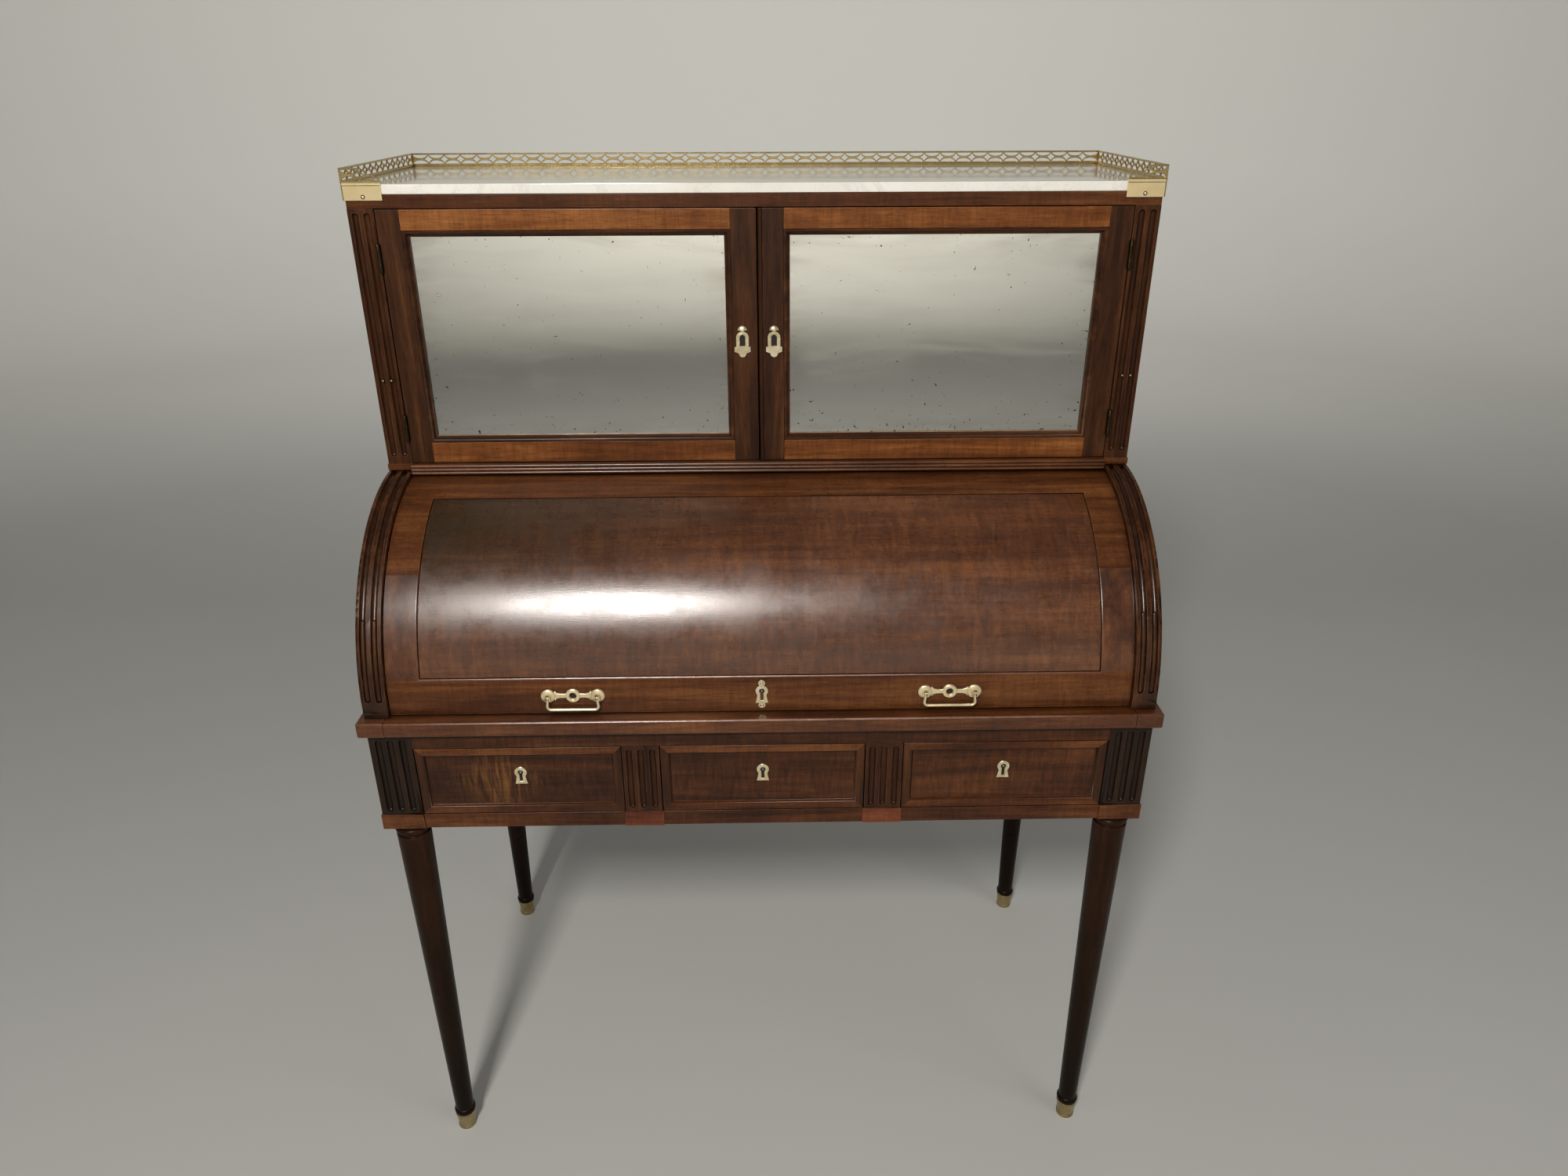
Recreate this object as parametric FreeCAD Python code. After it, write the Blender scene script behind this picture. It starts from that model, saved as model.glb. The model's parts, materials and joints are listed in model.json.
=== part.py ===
"""Cylinder desk: turned legs, drawers, writing slide, rolling cylinder, mirrored cabinet, gallery."""
import FreeCAD, Part
import math
import os

V = FreeCAD.Vector
X_AXIS = V(1, 0, 0)
Z_AXIS = V(0, 0, 1)
ORIGIN = V(0, 0, 0)

# Overall body, millimetres; the front faces -Y and the floor is Z = 0
BODY_WIDTH = 1006.0
DEPTH = 547.0
LEG_HEIGHT = 597.0
FLAT_GAP = 0.5
SIDE_GAP = 1.0
CURVE_GAP = 0.3
PIN_GAP = 0.05

# Frieze with its rails, posts and drawers
FRIEZE_SETBACK = 11.0
PLINTH_HEIGHT = 22.0
PLINTH_STEP = 1.5
DRAWER_OPENING_HEIGHT = 102.5
TOP_RAIL_HEIGHT = 23.5
POST_SIZE = 54.0
FRIEZE_BOARD = 20.0
FRIEZE_INSET = 2.0
DIVIDER_WIDTH = 48.0
DIVIDER_DEPTH = 24.0
PARTITION = 18.0
TILE_WIDTH = 51.5
RUNNER_HEIGHT = 14.0
RUNNER_TREAD = 16.0
GUIDE_HEIGHT = 25.0

# Drawers
DRAWER_FRONT = 20.0
DRAWER_BACK_GAP = 74.0
DRAWER_BOARD = 8.0
DRAWER_BOTTOM = 6.0
DRAWER_BOTTOM_RISE = 5.0
DRAWER_SIDE_DROP = 18.0
DRAWER_FRAME = 11.0
DRAWER_SINK = 3.5
DRAWER_BEVEL = 2.0

# Turned legs and brass shoes, as radii and heights
LEG_TOP_R = 22.6
LEG_NECK_R = 19.6
LEG_BEAD_R = 23.4
LEG_FOOT_R = 13.6
COLLAR_R = 15.8
RING_HEIGHT = 6.0
GROOVE_HEIGHT = 3.0
BEAD_HEIGHT = 10.0
COLLAR_HEIGHT = 9.0
SHOE_HEIGHT = 31.0
SHOE_BAND = 5.0
SHOE_TOP_R = 15.2
SHOE_WAIST_R = 14.0
SHOE_ANKLE_R = 12.8
SHOE_SOLE_R = 13.5
SHOE_FLOOR = 3.0
SPIGOT_R = 11.0

# Flutes
FLUTE_R = 4.3
FLUTE_END_MARGIN = 10.0
POST_FLUTES = 3
POST_FLUTE_PITCH = 15.2
STILE_FLUTES = 2
STILE_FLUTE_PITCH = 14.2
CABLE_R = 3.3
CABLE_STOP_ANGLE = 28.0
FLUTE_START_ANGLE = 4.5
FLUTE_STOP_ANGLE = 87.0

# Bed and writing slide
BED_THICKNESS = 21.0
BED_OVERHANG = 8.5
NOSE_R = 2.5
BED_END_WIDTH = 26.0
SLIDE_CLEARANCE = 0.3
LEDGE_WIDTH = 20.0
LEDGE_HEIGHT = 12.0
LEATHER_MARGIN_SIDE = 46.0
LEATHER_MARGIN_FRONT = 56.0
LEATHER_MARGIN_BACK = 14.0
LEATHER_THICKNESS = 1.5

# Case round the cylinder
POST_SETBACK = 12.5
ROLL_BACK_ROOM = 46.5
AXIS_RISE = 8.0
CASE_SIDE = 31.0
CASE_BACK = 12.0
CASE_TOP = 9.0
SILL_DEPTH = 6.0
SILL_TONGUE = 12.0
SILL_DROP = 5.5
REED_R = 2.4
REED_COUNT = 3

# Rolling cylinder
CYLINDER_SINK = 7.0
CYLINDER_THICKNESS = 16.0
CYLINDER_END_GAP = 1.0
CYLINDER_BACK_ANGLE = 102.0
CYLINDER_LIFT = 1.5
PANEL_MARGIN = 41.0
PANEL_START_ANGLE = 10.2
PANEL_STOP_ANGLE = 72.0
PANEL_SINK = 2.0
ARM_THICKNESS = 10.0
ARM_GAP = 3.0
ARM_START_ANGLE = 35.0
ARM_STOP_ANGLE = 85.0
BOSS_LIFT = 0.8
PIVOT_R = 4.0
PIVOT_LENGTH = 18.0

# Bail handles
HANDLE_INSET = 264.4
HANDLE_RISE = 27.0
HANDLE_HALF_SPAN = 31.2
PLATE_THICKNESS = 2.2
ROSETTE_R = 9.0
RING_R = 9.4
RING_HOLE_R = 4.4
ARM_WAIST = 2.8
ARM_TIP_REACH = 8.4
ARM_TIP_HALF = 6.6
STUD_R = 4.0
STUD_LENGTH = 8.5
BAIL_PIVOT_OUT = 5.0
BAIL_PIN_R = 1.2
BAIL_PIN_REACH = 3.2
BAIL_R = 1.9
BAIL_DROP = 17.0
BAIL_BEND_R = 5.0
BAIL_SLOT_GAP = 0.3
BAIL_SWING_ROOM = 1.1

# Keyhole plates, locks and bolts
ESCUTCHEON_THICKNESS = 1.5
ESCUTCHEON_R = 8.0
ESCUTCHEON_WAIST = 12.0
ESCUTCHEON_SKIRT = 16.4
ESCUTCHEON_DROP = 17.5
ESCUTCHEON_RING_R = 4.6
ESCUTCHEON_RING_LAP = 1.4
DRAWER_KEY_RISE = 11.5
CYLINDER_KEY_RISE = 28.8
KEYHOLE_R = 3.4
KEYHOLE_SLOT = 3.8
KEYHOLE_DROP = 13.5
KEY_PIN_R = 1.3
LOCK_WIDTH = 50.0
LOCK_HEIGHT = 60.0
CYLINDER_LOCK_HEIGHT = 45.0
LOCK_DEPTH = 11.0
BOLT_WIDTH = 14.0
BOLT_THICKNESS = 5.0
BOLT_LENGTH = 18.0
BOLT_THROW = 7.0
BOLT_SINK = 0.4
BOLT_GAP = 0.3

# Upper cabinet
GRADIN_LEAD = 12.5
GRADIN_BACK_INSET = 5.0
GRADIN_SIDE = 22.0
GRADIN_BACK = 8.0
STILE_WIDTH = 32.0
STILE_DEPTH = 24.0
STILE_PIN_R = 1.3
STILE_PIN_RISE = 114.0
STILE_PIN_PITCH = 10.8
STILE_PIN_PROUD = 1.2
DOOR_OPENING_HEIGHT = 327.5
GRADIN_TOP = 16.5
SHELF_THICKNESS = 12.0
SHELF_RISE = 165.0
SHELF_SETBACK = 40.0

# Doors
DOOR_THICKNESS = 22.0
DOOR_GAP = 1.0
MEETING_GAP = 1.5
OUTER_STILE = 37.0
INNER_STILE = 40.5
DOOR_TOP_RAIL = 33.0
DOOR_BOTTOM_RAIL = 36.0
SIGHT_BEVEL = 8.0
SIGHT_BEVEL_DEPTH = 5.0
MIRROR_LAP = 8.0
MIRROR_SETBACK = 8.0
MIRROR_THICKNESS = 4.0
DOOR_BACK_THICKNESS = 8.0
BEAD_R = 3.0
DOOR_KEY_RISE = 1.0
DOOR_KEY_X = 20.5

# Keyhole plates of the doors: an arched loop on a foot with two ears, between a dome and a drop
LOOP_HALF = 8.3
LOOP_OPENING_HALF = 3.6
LOOP_RISE = 2.2
LOOP_DROP = 9.6
LOOP_SILL = 1.2
EAR_HALF = 10.6
EAR_HEIGHT = 6.6
FOOT_HALF = 5.0
FOOT_DROP = 2.2
DOME_R = 6.1
DOME_NECK = 4.0

# Butt hinges
HINGE_LENGTH = 35.0
HINGE_LOW_RISE = 50.0
HINGE_HIGH_DROP = 59.0
KNUCKLE_R = 2.6
HINGE_PIN_R = 1.3
LEAF_THICKNESS = 1.2
LEAF_WIDTH = 18.0
KNUCKLE_GAP = 0.2

# Marble and gallery
MARBLE_THICKNESS = 12.0
BAND_THICKNESS = 2.0
BAND_DROP = 7.0
BAND_RISE = 2.0
RETURN_LENGTH = 46.0
GALLERY_HEIGHT = 16.4
GALLERY_RAIL = 2.2
GALLERY_PITCH = 23.0
GALLERY_WIRE = 1.6
GALLERY_CROWN = 5.9
GALLERY_FOOT = 1.0
LOZENGE_BOW = 0.42
SWEEP_BOW = 0.72
BAND_PIN_R = 1.6
BAND_PIN_PROUD = 1.0

# Nest of small drawers and pigeonholes
NEST_SIDE_GAP = 4.0
NEST_ROLL_GAP = 2.0
NEST_DEPTH = 112.0
NEST_HEIGHT = 114.0
NEST_BOARD = 7.0
NEST_DRAWER_HEIGHT = 46.0
NEST_DRAWERS = 3
NEST_HOLES = 5
NEST_FRONT = 8.0
NEST_DRAWER_BOARD = 4.0
NEST_BACK_GAP = 6.0
KNOB_R = 6.0
KNOB_LENGTH = 12.0
KNOB_NECK_R = 2.5

# Levels and planes worked out from the sizes above
HALF = BODY_WIDTH / 2
FRONT = -DEPTH / 2
BACK = DEPTH / 2
Z_RAIL = LEG_HEIGHT
Z_DRAWER = Z_RAIL + PLINTH_HEIGHT
Z_TOP_RAIL = Z_DRAWER + DRAWER_OPENING_HEIGHT
Z_BED = Z_TOP_RAIL + TOP_RAIL_HEIGHT
Z_WRITE = Z_BED + BED_THICKNESS
Z_ROLL = Z_WRITE + AXIS_RISE
BOSS_R = AXIS_RISE - BOSS_LIFT
POST_RADIUS = (DEPTH - POST_SETBACK - ROLL_BACK_ROOM) / 2
Z_CASE = Z_ROLL + POST_RADIUS
Z_SILL = Z_CASE + CASE_TOP
Z_DOOR_TOP = Z_SILL + DOOR_OPENING_HEIGHT
Z_MARBLE = Z_DOOR_TOP + GRADIN_TOP
Z_SLAB = Z_MARBLE + MARBLE_THICKNESS
Y_FRIEZE = FRONT + FRIEZE_SETBACK
Y_ROLL = FRONT + POST_SETBACK + POST_RADIUS
Y_GRADIN = Y_ROLL - GRADIN_LEAD
Y_GRADIN_BACK = BACK - GRADIN_BACK_INSET
INNER_POST = HALF - POST_SIZE
DRAWER_OPENING = (2 * INNER_POST - 2 * DIVIDER_WIDTH) / 3
DIVIDER_CENTRE = (DRAWER_OPENING + DIVIDER_WIDTH) / 2
FRIEZE_IN = HALF - FRIEZE_INSET - FRIEZE_BOARD
CASE_IN = HALF - CASE_SIDE
SLIDE_HALF = HALF - BED_END_WIDTH
CYLINDER_R = POST_RADIUS - CYLINDER_SINK
CYLINDER_IN_R = CYLINDER_R - CYLINDER_THICKNESS
CYLINDER_HALF = CASE_IN - CYLINDER_END_GAP
PANEL_HALF = CYLINDER_HALF - PANEL_MARGIN
HANDLE_X = HALF - HANDLE_INSET
NEST_HALF = CASE_IN - ARM_GAP - ARM_THICKNESS - NEST_SIDE_GAP
Z_NEST_TOP = Z_WRITE + NEST_HEIGHT
Y_NEST_BACK = Y_ROLL + math.sqrt((CYLINDER_IN_R - NEST_ROLL_GAP) ** 2 - (Z_NEST_TOP - Z_ROLL) ** 2)
Y_NEST = Y_NEST_BACK - NEST_DEPTH
Y_SLIDE_BACK = Y_NEST - 2 * SIDE_GAP
DOOR_HALF = HALF - STILE_WIDTH
LEG_X = HALF - POST_SIZE / 2
FRONT_LEG_Y = Y_FRIEZE + POST_SIZE / 2
REAR_LEG_Y = BACK - POST_SIZE / 2
FRIEZE_BACK_Y = BACK - FRIEZE_INSET - FRIEZE_BOARD
DRAWER_OPENINGS = {
    "left": (-INNER_POST, -DIVIDER_CENTRE - DIVIDER_WIDTH / 2),
    "middle": (-DIVIDER_CENTRE + DIVIDER_WIDTH / 2, DIVIDER_CENTRE - DIVIDER_WIDTH / 2),
    "right": (DIVIDER_CENTRE + DIVIDER_WIDTH / 2, INNER_POST),
}
SIDES = {"left": -1, "right": 1}


def box(x0, x1, y0, y1, z0, z1):
    """Box between two corners given as ranges."""
    return Part.makeBox(x1 - x0, y1 - y0, z1 - z0, V(x0, y0, z0))


def rod(radius, start, end):
    """Cylinder from one point to another."""
    return Part.makeCylinder(radius, start.distanceToPoint(end), start, end - start)


def mirrored(shape):
    """The same shape on the other side of the middle plane."""
    return shape.mirror(ORIGIN, X_AXIS)


def on_side(shape, side):
    """A shape modelled on the right, moved to the named side."""
    return shape if SIDES[side] > 0 else mirrored(shape)


def joined(shapes):
    """One solid from overlapping shapes."""
    shapes = list(shapes)
    return shapes[0].multiFuse(shapes[1:]).removeSplitter() if len(shapes) > 1 else shapes[0]


def save(node, shapes):
    """Write one node as a STEP file, as one solid or as a group of separate solids."""
    shapes = list(shapes) if isinstance(shapes, (list, tuple)) else [shapes]
    shape = shapes[0] if len(shapes) == 1 else Part.makeCompound(shapes)
    shape.exportStep(os.path.join("parts", node + ".step"))


def prism_x(points, x0, x1):
    """Solid of a Y-Z outline between two X planes."""
    wire = Part.makePolygon([V(x0, y, z) for y, z in points] + [V(x0, *points[0])])
    return Part.Face(wire).extrude(V(x1 - x0, 0, 0))


def roll_point(radius, angle, x=0.0):
    """Point on the cylinder's circle; the angle runs from the front, up and over to the back."""
    turn = math.radians(angle)
    return V(x, Y_ROLL - radius * math.cos(turn), Z_ROLL + radius * math.sin(turn))


def roll_sector(inner, outer, start, stop, x0, x1):
    """Part of a ring about the cylinder's axis, between two angles."""
    middle = (start + stop) / 2
    edges = [
        Part.Arc(*(roll_point(outer, a, x0) for a in (start, middle, stop))).toShape(),
        Part.LineSegment(roll_point(outer, stop, x0), roll_point(inner, stop, x0)).toShape(),
        Part.Arc(*(roll_point(inner, a, x0) for a in (stop, middle, start))).toShape(),
        Part.LineSegment(roll_point(inner, start, x0), roll_point(outer, start, x0)).toShape(),
    ]
    return Part.Face(Part.Wire(edges)).extrude(V(x1 - x0, 0, 0))


def straight_flute(x, y, z0, z1):
    """Round-ended cutter for a flute in a face, centred on its surface."""
    low = V(x, y, z0 + FLUTE_R)
    high = V(x, y, z1 - FLUTE_R)
    ends = [Part.makeSphere(FLUTE_R, low), Part.makeSphere(FLUTE_R, high)]
    return joined([rod(FLUTE_R, low, high)] + ends)


def flute_offsets(count, pitch):
    """Offsets of a row of flutes about the middle of its face."""
    return [(i - (count - 1) / 2) * pitch for i in range(count)]


def keyhole(x, y0, y1, z):
    """Cutter for a keyhole through a plate, from the front to the back."""
    slot = box(x - KEYHOLE_SLOT / 2, x + KEYHOLE_SLOT / 2, y0, y1, z - KEYHOLE_DROP, z)
    return joined([rod(KEYHOLE_R, V(x, y0, z), V(x, y1, z)), slot])


def turned_leg():
    """Turned leg about Z from inside the shoe up to the plinth block."""
    top = Z_RAIL
    ring_low = top - RING_HEIGHT
    bead_high = ring_low - GROOVE_HEIGHT
    bead_low = bead_high - BEAD_HEIGHT
    shaft_high = bead_low - GROOVE_HEIGHT
    collar_high = SHOE_HEIGHT + COLLAR_HEIGHT
    lines = [
        [V(0, 0, top), V(LEG_TOP_R, 0, top), V(LEG_TOP_R, 0, ring_low), V(LEG_NECK_R, 0, ring_low),
         V(LEG_NECK_R, 0, bead_high)],
        [V(LEG_NECK_R, 0, bead_low), V(LEG_NECK_R, 0, shaft_high), V(LEG_TOP_R, 0, shaft_high),
         V(LEG_FOOT_R, 0, collar_high)],
        [V(LEG_FOOT_R, 0, SHOE_HEIGHT), V(SPIGOT_R, 0, SHOE_HEIGHT), V(SPIGOT_R, 0, SHOE_FLOOR),
         V(0, 0, SHOE_FLOOR), V(0, 0, top)],
    ]
    bead = Part.Arc(V(LEG_NECK_R, 0, bead_high), V(LEG_BEAD_R, 0, (bead_high + bead_low) / 2),
                    V(LEG_NECK_R, 0, bead_low)).toShape()
    collar = Part.Arc(V(LEG_FOOT_R, 0, collar_high), V(COLLAR_R, 0, (collar_high + SHOE_HEIGHT) / 2),
                      V(LEG_FOOT_R, 0, SHOE_HEIGHT)).toShape()
    runs = [Part.makePolygon(points).Edges for points in lines]
    edges = runs[0] + [bead] + runs[1] + [collar] + runs[2]
    return Part.Face(Part.Wire(edges)).revolve(ORIGIN, Z_AXIS, 360)


def right_leg(front):
    """Right leg with its fluted post and plinth block, at the front or the rear."""
    y = FRONT_LEG_Y if front else REAR_LEG_Y
    half = POST_SIZE / 2
    plinth_front = y - half - (PLINTH_STEP if front else 0)
    post = box(INNER_POST, HALF, y - half, y + half, Z_DRAWER, Z_BED)
    plinth = box(INNER_POST, HALF + PLINTH_STEP, plinth_front, y + half, Z_RAIL, Z_DRAWER)
    flute_low = Z_DRAWER + FLUTE_END_MARGIN / 2
    flute_high = Z_BED - FLUTE_END_MARGIN
    cutters = []
    for offset in flute_offsets(POST_FLUTES, POST_FLUTE_PITCH):
        cutters.append(straight_flute(HALF, y + offset, flute_low, flute_high))
        if front:
            cutters.append(straight_flute(LEG_X + offset, y - half, flute_low, flute_high))
    shaft = turned_leg()
    shaft.translate(V(LEG_X, y, 0))
    return joined([post.cut(cutters), plinth, shaft])


def shoe():
    """Brass shoe about Z, a cup round the leg's spigot."""
    band_low = SHOE_HEIGHT - SHOE_BAND
    points = [
        V(0, 0, 0), V(SHOE_SOLE_R, 0, 0), V(SHOE_SOLE_R, 0, SHOE_BAND), V(SHOE_ANKLE_R, 0, SHOE_BAND),
        V(SHOE_WAIST_R, 0, band_low), V(SHOE_TOP_R, 0, band_low), V(SHOE_TOP_R, 0, SHOE_HEIGHT),
        V(SPIGOT_R, 0, SHOE_HEIGHT), V(SPIGOT_R, 0, SHOE_FLOOR), V(0, 0, SHOE_FLOOR), V(0, 0, 0),
    ]
    return Part.Face(Part.makePolygon(points)).revolve(ORIGIN, Z_AXIS, 360)


def build_legs():
    """Four legs and their shoes."""
    for node, front in (("front_legs", True), ("rear_legs", False)):
        leg = right_leg(front)
        save(node, [leg, mirrored(leg)])
    shoes = []
    for y in (FRONT_LEG_Y, REAR_LEG_Y):
        for x in (-LEG_X, LEG_X):
            one = shoe()
            one.translate(V(x, y, 0))
            shoes.append(one)
    save("foot_shoes", shoes)


def lock_centre(opening):
    """Middle of a drawer opening."""
    return (opening[0] + opening[1]) / 2


def build_frieze():
    """Boards, rails, dividers, partitions and runners of the frieze."""
    side = box(FRIEZE_IN, FRIEZE_IN + FRIEZE_BOARD, Y_FRIEZE + POST_SIZE, BACK - POST_SIZE, Z_RAIL, Z_BED)
    save("frieze_sides", [side, mirrored(side)])
    save("frieze_back", box(-INNER_POST, INNER_POST, FRIEZE_BACK_Y, BACK - FRIEZE_INSET, Z_RAIL, Z_BED))

    rail_back = Y_FRIEZE + POST_SIZE
    top_rail = box(-INNER_POST, INNER_POST, Y_FRIEZE, rail_back, Z_TOP_RAIL, Z_BED)
    bolt_y = Y_FRIEZE + DRAWER_FRONT - LOCK_DEPTH / 2
    for opening in DRAWER_OPENINGS.values():
        top_rail = top_rail.cut(bolt_mortise(lock_centre(opening), bolt_y, Z_TOP_RAIL))
    bottom_rail = box(-INNER_POST, INNER_POST, Y_FRIEZE, rail_back, Z_RAIL, Z_DRAWER)
    save("front_rails", [top_rail, bottom_rail])

    dividers = []
    partitions = []
    half = DIVIDER_WIDTH / 2
    for x in (-DIVIDER_CENTRE, DIVIDER_CENTRE):
        divider = box(x - half, x + half, Y_FRIEZE, Y_FRIEZE + DIVIDER_DEPTH, Z_DRAWER, Z_TOP_RAIL)
        low = Z_DRAWER + FLUTE_END_MARGIN / 2
        high = Z_TOP_RAIL - FLUTE_END_MARGIN / 2
        for offset in flute_offsets(POST_FLUTES, POST_FLUTE_PITCH):
            divider = divider.cut(straight_flute(x + offset, Y_FRIEZE, low, high))
        tile = box(x - TILE_WIDTH / 2, x + TILE_WIDTH / 2, Y_FRIEZE - PLINTH_STEP, Y_FRIEZE, Z_RAIL, Z_DRAWER)
        dividers += [divider, tile]
        partitions.append(box(x - PARTITION / 2, x + PARTITION / 2, Y_FRIEZE + DIVIDER_DEPTH, FRIEZE_BACK_Y,
                              Z_DRAWER, Z_TOP_RAIL))
    save("drawer_dividers", dividers)
    save("drawer_partitions", partitions)
    save("drawer_runners", drawer_runners())


def drawer_runners():
    """Runner to carry each side of each drawer, and the guide beside it."""
    walls = {
        "left": (-FRIEZE_IN, -DIVIDER_CENTRE - PARTITION / 2),
        "middle": (-DIVIDER_CENTRE + PARTITION / 2, DIVIDER_CENTRE - PARTITION / 2),
        "right": (DIVIDER_CENTRE + PARTITION / 2, FRIEZE_IN),
    }
    y0 = Y_FRIEZE + POST_SIZE
    low = Z_DRAWER - RUNNER_HEIGHT
    high = Z_DRAWER + GUIDE_HEIGHT
    runners = []
    for name, (x0, x1) in DRAWER_OPENINGS.items():
        wall0, wall1 = walls[name]
        for wall, edge, inward in ((wall0, x0, 1), (wall1, x1, -1)):
            tread = sorted((wall, edge + inward * RUNNER_TREAD))
            guide = sorted((wall, edge))
            y1 = BACK - POST_SIZE if near(abs(wall), FRIEZE_IN) else FRIEZE_BACK_Y
            runners.append(box(*tread, y0, y1, low, Z_DRAWER))
            runners.append(box(*guide, y0, y1, Z_DRAWER, high))
    return runners


def bolt_mortise(x, y, z):
    """Cutter for a mortise above a bolt that rises through the plane z."""
    half_x = BOLT_WIDTH / 2 + BOLT_GAP
    half_y = BOLT_THICKNESS / 2 + BOLT_GAP
    return box(x - half_x, x + half_x, y - half_y, y + half_y, z, z + BOLT_THROW + FLAT_GAP)


def flat_plate(points, y, thickness):
    """Plate of an X-Z outline, with its front at the depth y."""
    wire = Part.makePolygon([V(px, y, pz) for px, pz in points] + [V(points[0][0], y, points[0][1])])
    return Part.Face(wire).extrude(V(0, thickness, 0))


def disc(x, y, z, radius, thickness):
    """Round plate with its front at the depth y."""
    return rod(radius, V(x, y, z), V(x, y + thickness, z))


def escutcheon(x, y, z, thickness, ringed=False):
    """Keyhole plate: a round head over a flared skirt, with a nail ring at each end if asked."""
    waist = ESCUTCHEON_WAIST / 2
    skirt = ESCUTCHEON_SKIRT / 2
    flare = z - ESCUTCHEON_R / 2
    low = z - ESCUTCHEON_DROP
    outline = [(x - waist, z), (x + waist, z), (x + waist, flare), (x + skirt, low), (x - skirt, low),
               (x - waist, flare)]
    parts = [disc(x, y, z, ESCUTCHEON_R, thickness), flat_plate(outline, y, thickness)]
    if ringed:
        reach = ESCUTCHEON_RING_R - ESCUTCHEON_RING_LAP
        for end in (z + ESCUTCHEON_R + reach, low - reach):
            parts.append(disc(x, y, end, ESCUTCHEON_RING_R, thickness))
    return joined(parts)


def loop_escutcheon(x, y, z, thickness):
    """Keyhole plate of a door: an arched loop on an eared foot, with a dome above and a drop below."""
    spring = z + LOOP_RISE
    foot = z - LOOP_DROP
    low = foot - EAR_HEIGHT
    outline = [(x - EAR_HALF, low), (x - EAR_HALF, foot), (x - LOOP_HALF, foot), (x - LOOP_HALF, spring),
               (x + LOOP_HALF, spring), (x + LOOP_HALF, foot), (x + EAR_HALF, foot), (x + EAR_HALF, low),
               (x + FOOT_HALF, low - FOOT_DROP), (x - FOOT_HALF, low - FOOT_DROP)]
    top = spring + LOOP_HALF
    dome = disc(x, y, top, DOME_R, thickness)
    dome = dome.common(box(x - DOME_R, x + DOME_R, y, y + thickness, top, top + DOME_R))
    dome.translate(V(0, 0, DOME_NECK / 4))
    half_neck = DOME_NECK / 2
    neck = box(x - half_neck, x + half_neck, y, y + thickness, top - half_neck, top + half_neck)
    drop = disc(x, y, low - FOOT_DROP, FOOT_HALF, thickness)
    arch = disc(x, y, spring, LOOP_HALF, thickness)
    plate = joined([flat_plate(outline, y, thickness), arch, dome, neck, drop])
    hole = box(x - LOOP_OPENING_HALF, x + LOOP_OPENING_HALF, y, y + thickness, foot + LOOP_SILL, spring)
    return plate.cut([hole, disc(x, y, spring, LOOP_OPENING_HALF, thickness)])


def build_drawer(name, opening):
    """Moulded front, box, lock with its keyhole plate, and bolt of one frieze drawer."""
    x0 = opening[0] + SIDE_GAP
    x1 = opening[1] - SIDE_GAP
    z0 = Z_DRAWER + FLAT_GAP
    z1 = Z_TOP_RAIL - FLAT_GAP
    x_lock = lock_centre(opening)
    back = Y_FRIEZE + DRAWER_FRONT
    panel_face = Y_FRIEZE + DRAWER_SINK
    key_z = (z0 + z1) / 2 + DRAWER_KEY_RISE

    lock_low = z1 - LOCK_HEIGHT
    case = box(x_lock - LOCK_WIDTH / 2, x_lock + LOCK_WIDTH / 2, back - LOCK_DEPTH, back, lock_low, z1)
    front = box(x0, x1, Y_FRIEZE, back, z0, z1).cut(
        tapered_cutter((x0, x1), (z0, z1), Y_FRIEZE, DRAWER_FRAME, DRAWER_BEVEL, DRAWER_SINK))
    front = front.cut([case, keyhole(x_lock, Y_FRIEZE, back, key_z)])
    save(name + "_drawer_front", front)

    side_top = z1 - DRAWER_SIDE_DROP
    y_end = FRIEZE_BACK_Y - DRAWER_BACK_GAP
    in0 = x0 + DRAWER_BOARD
    in1 = x1 - DRAWER_BOARD
    floor = z0 + DRAWER_BOTTOM_RISE
    save(name + "_drawer_box", [
        box(x0, in0, back, y_end, z0, side_top),
        box(in1, x1, back, y_end, z0, side_top),
        box(in0, in1, y_end - DRAWER_BOARD, y_end, z0, side_top),
        box(in0, in1, back, y_end - DRAWER_BOARD, floor, floor + DRAWER_BOTTOM),
    ])

    bolt_y = back - LOCK_DEPTH / 2
    bolt_top = z1 - BOLT_SINK
    half_x = BOLT_WIDTH / 2
    half_y = BOLT_THICKNESS / 2
    slot = box(x_lock - half_x - BOLT_GAP, x_lock + half_x + BOLT_GAP, bolt_y - half_y - BOLT_GAP,
               bolt_y + half_y + BOLT_GAP, bolt_top - BOLT_LENGTH - BOLT_GAP, z1)
    plate = escutcheon(x_lock, panel_face - ESCUTCHEON_THICKNESS, key_z, ESCUTCHEON_THICKNESS)
    plate = plate.cut(keyhole(x_lock, Y_FRIEZE, back, key_z))
    key_pin = rod(KEY_PIN_R, V(x_lock, panel_face, key_z), V(x_lock, bolt_y, key_z))
    save(name + "_drawer_lock", [joined([case.cut(slot), key_pin]), plate])
    save(name + "_drawer_bolt", box(x_lock - half_x, x_lock + half_x, bolt_y - half_y, bolt_y + half_y,
                                    bolt_top - BOLT_LENGTH, bolt_top))


def tapered_cutter(x_range, z_range, face, inset_at_face, slope, depth):
    """Cutter that narrows from a face inwards, for a sunk panel or a sloping moulding."""
    wires = []
    for y, inset in ((face, inset_at_face), (face + depth, inset_at_face + slope)):
        x0 = x_range[0] + inset
        x1 = x_range[1] - inset
        z0 = z_range[0] + inset
        z1 = z_range[1] - inset
        wires.append(Part.makePolygon([V(x0, y, z0), V(x1, y, z0), V(x1, y, z1), V(x0, y, z1), V(x0, y, z0)]))
    return Part.makeLoft(wires, True, True)


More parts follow.
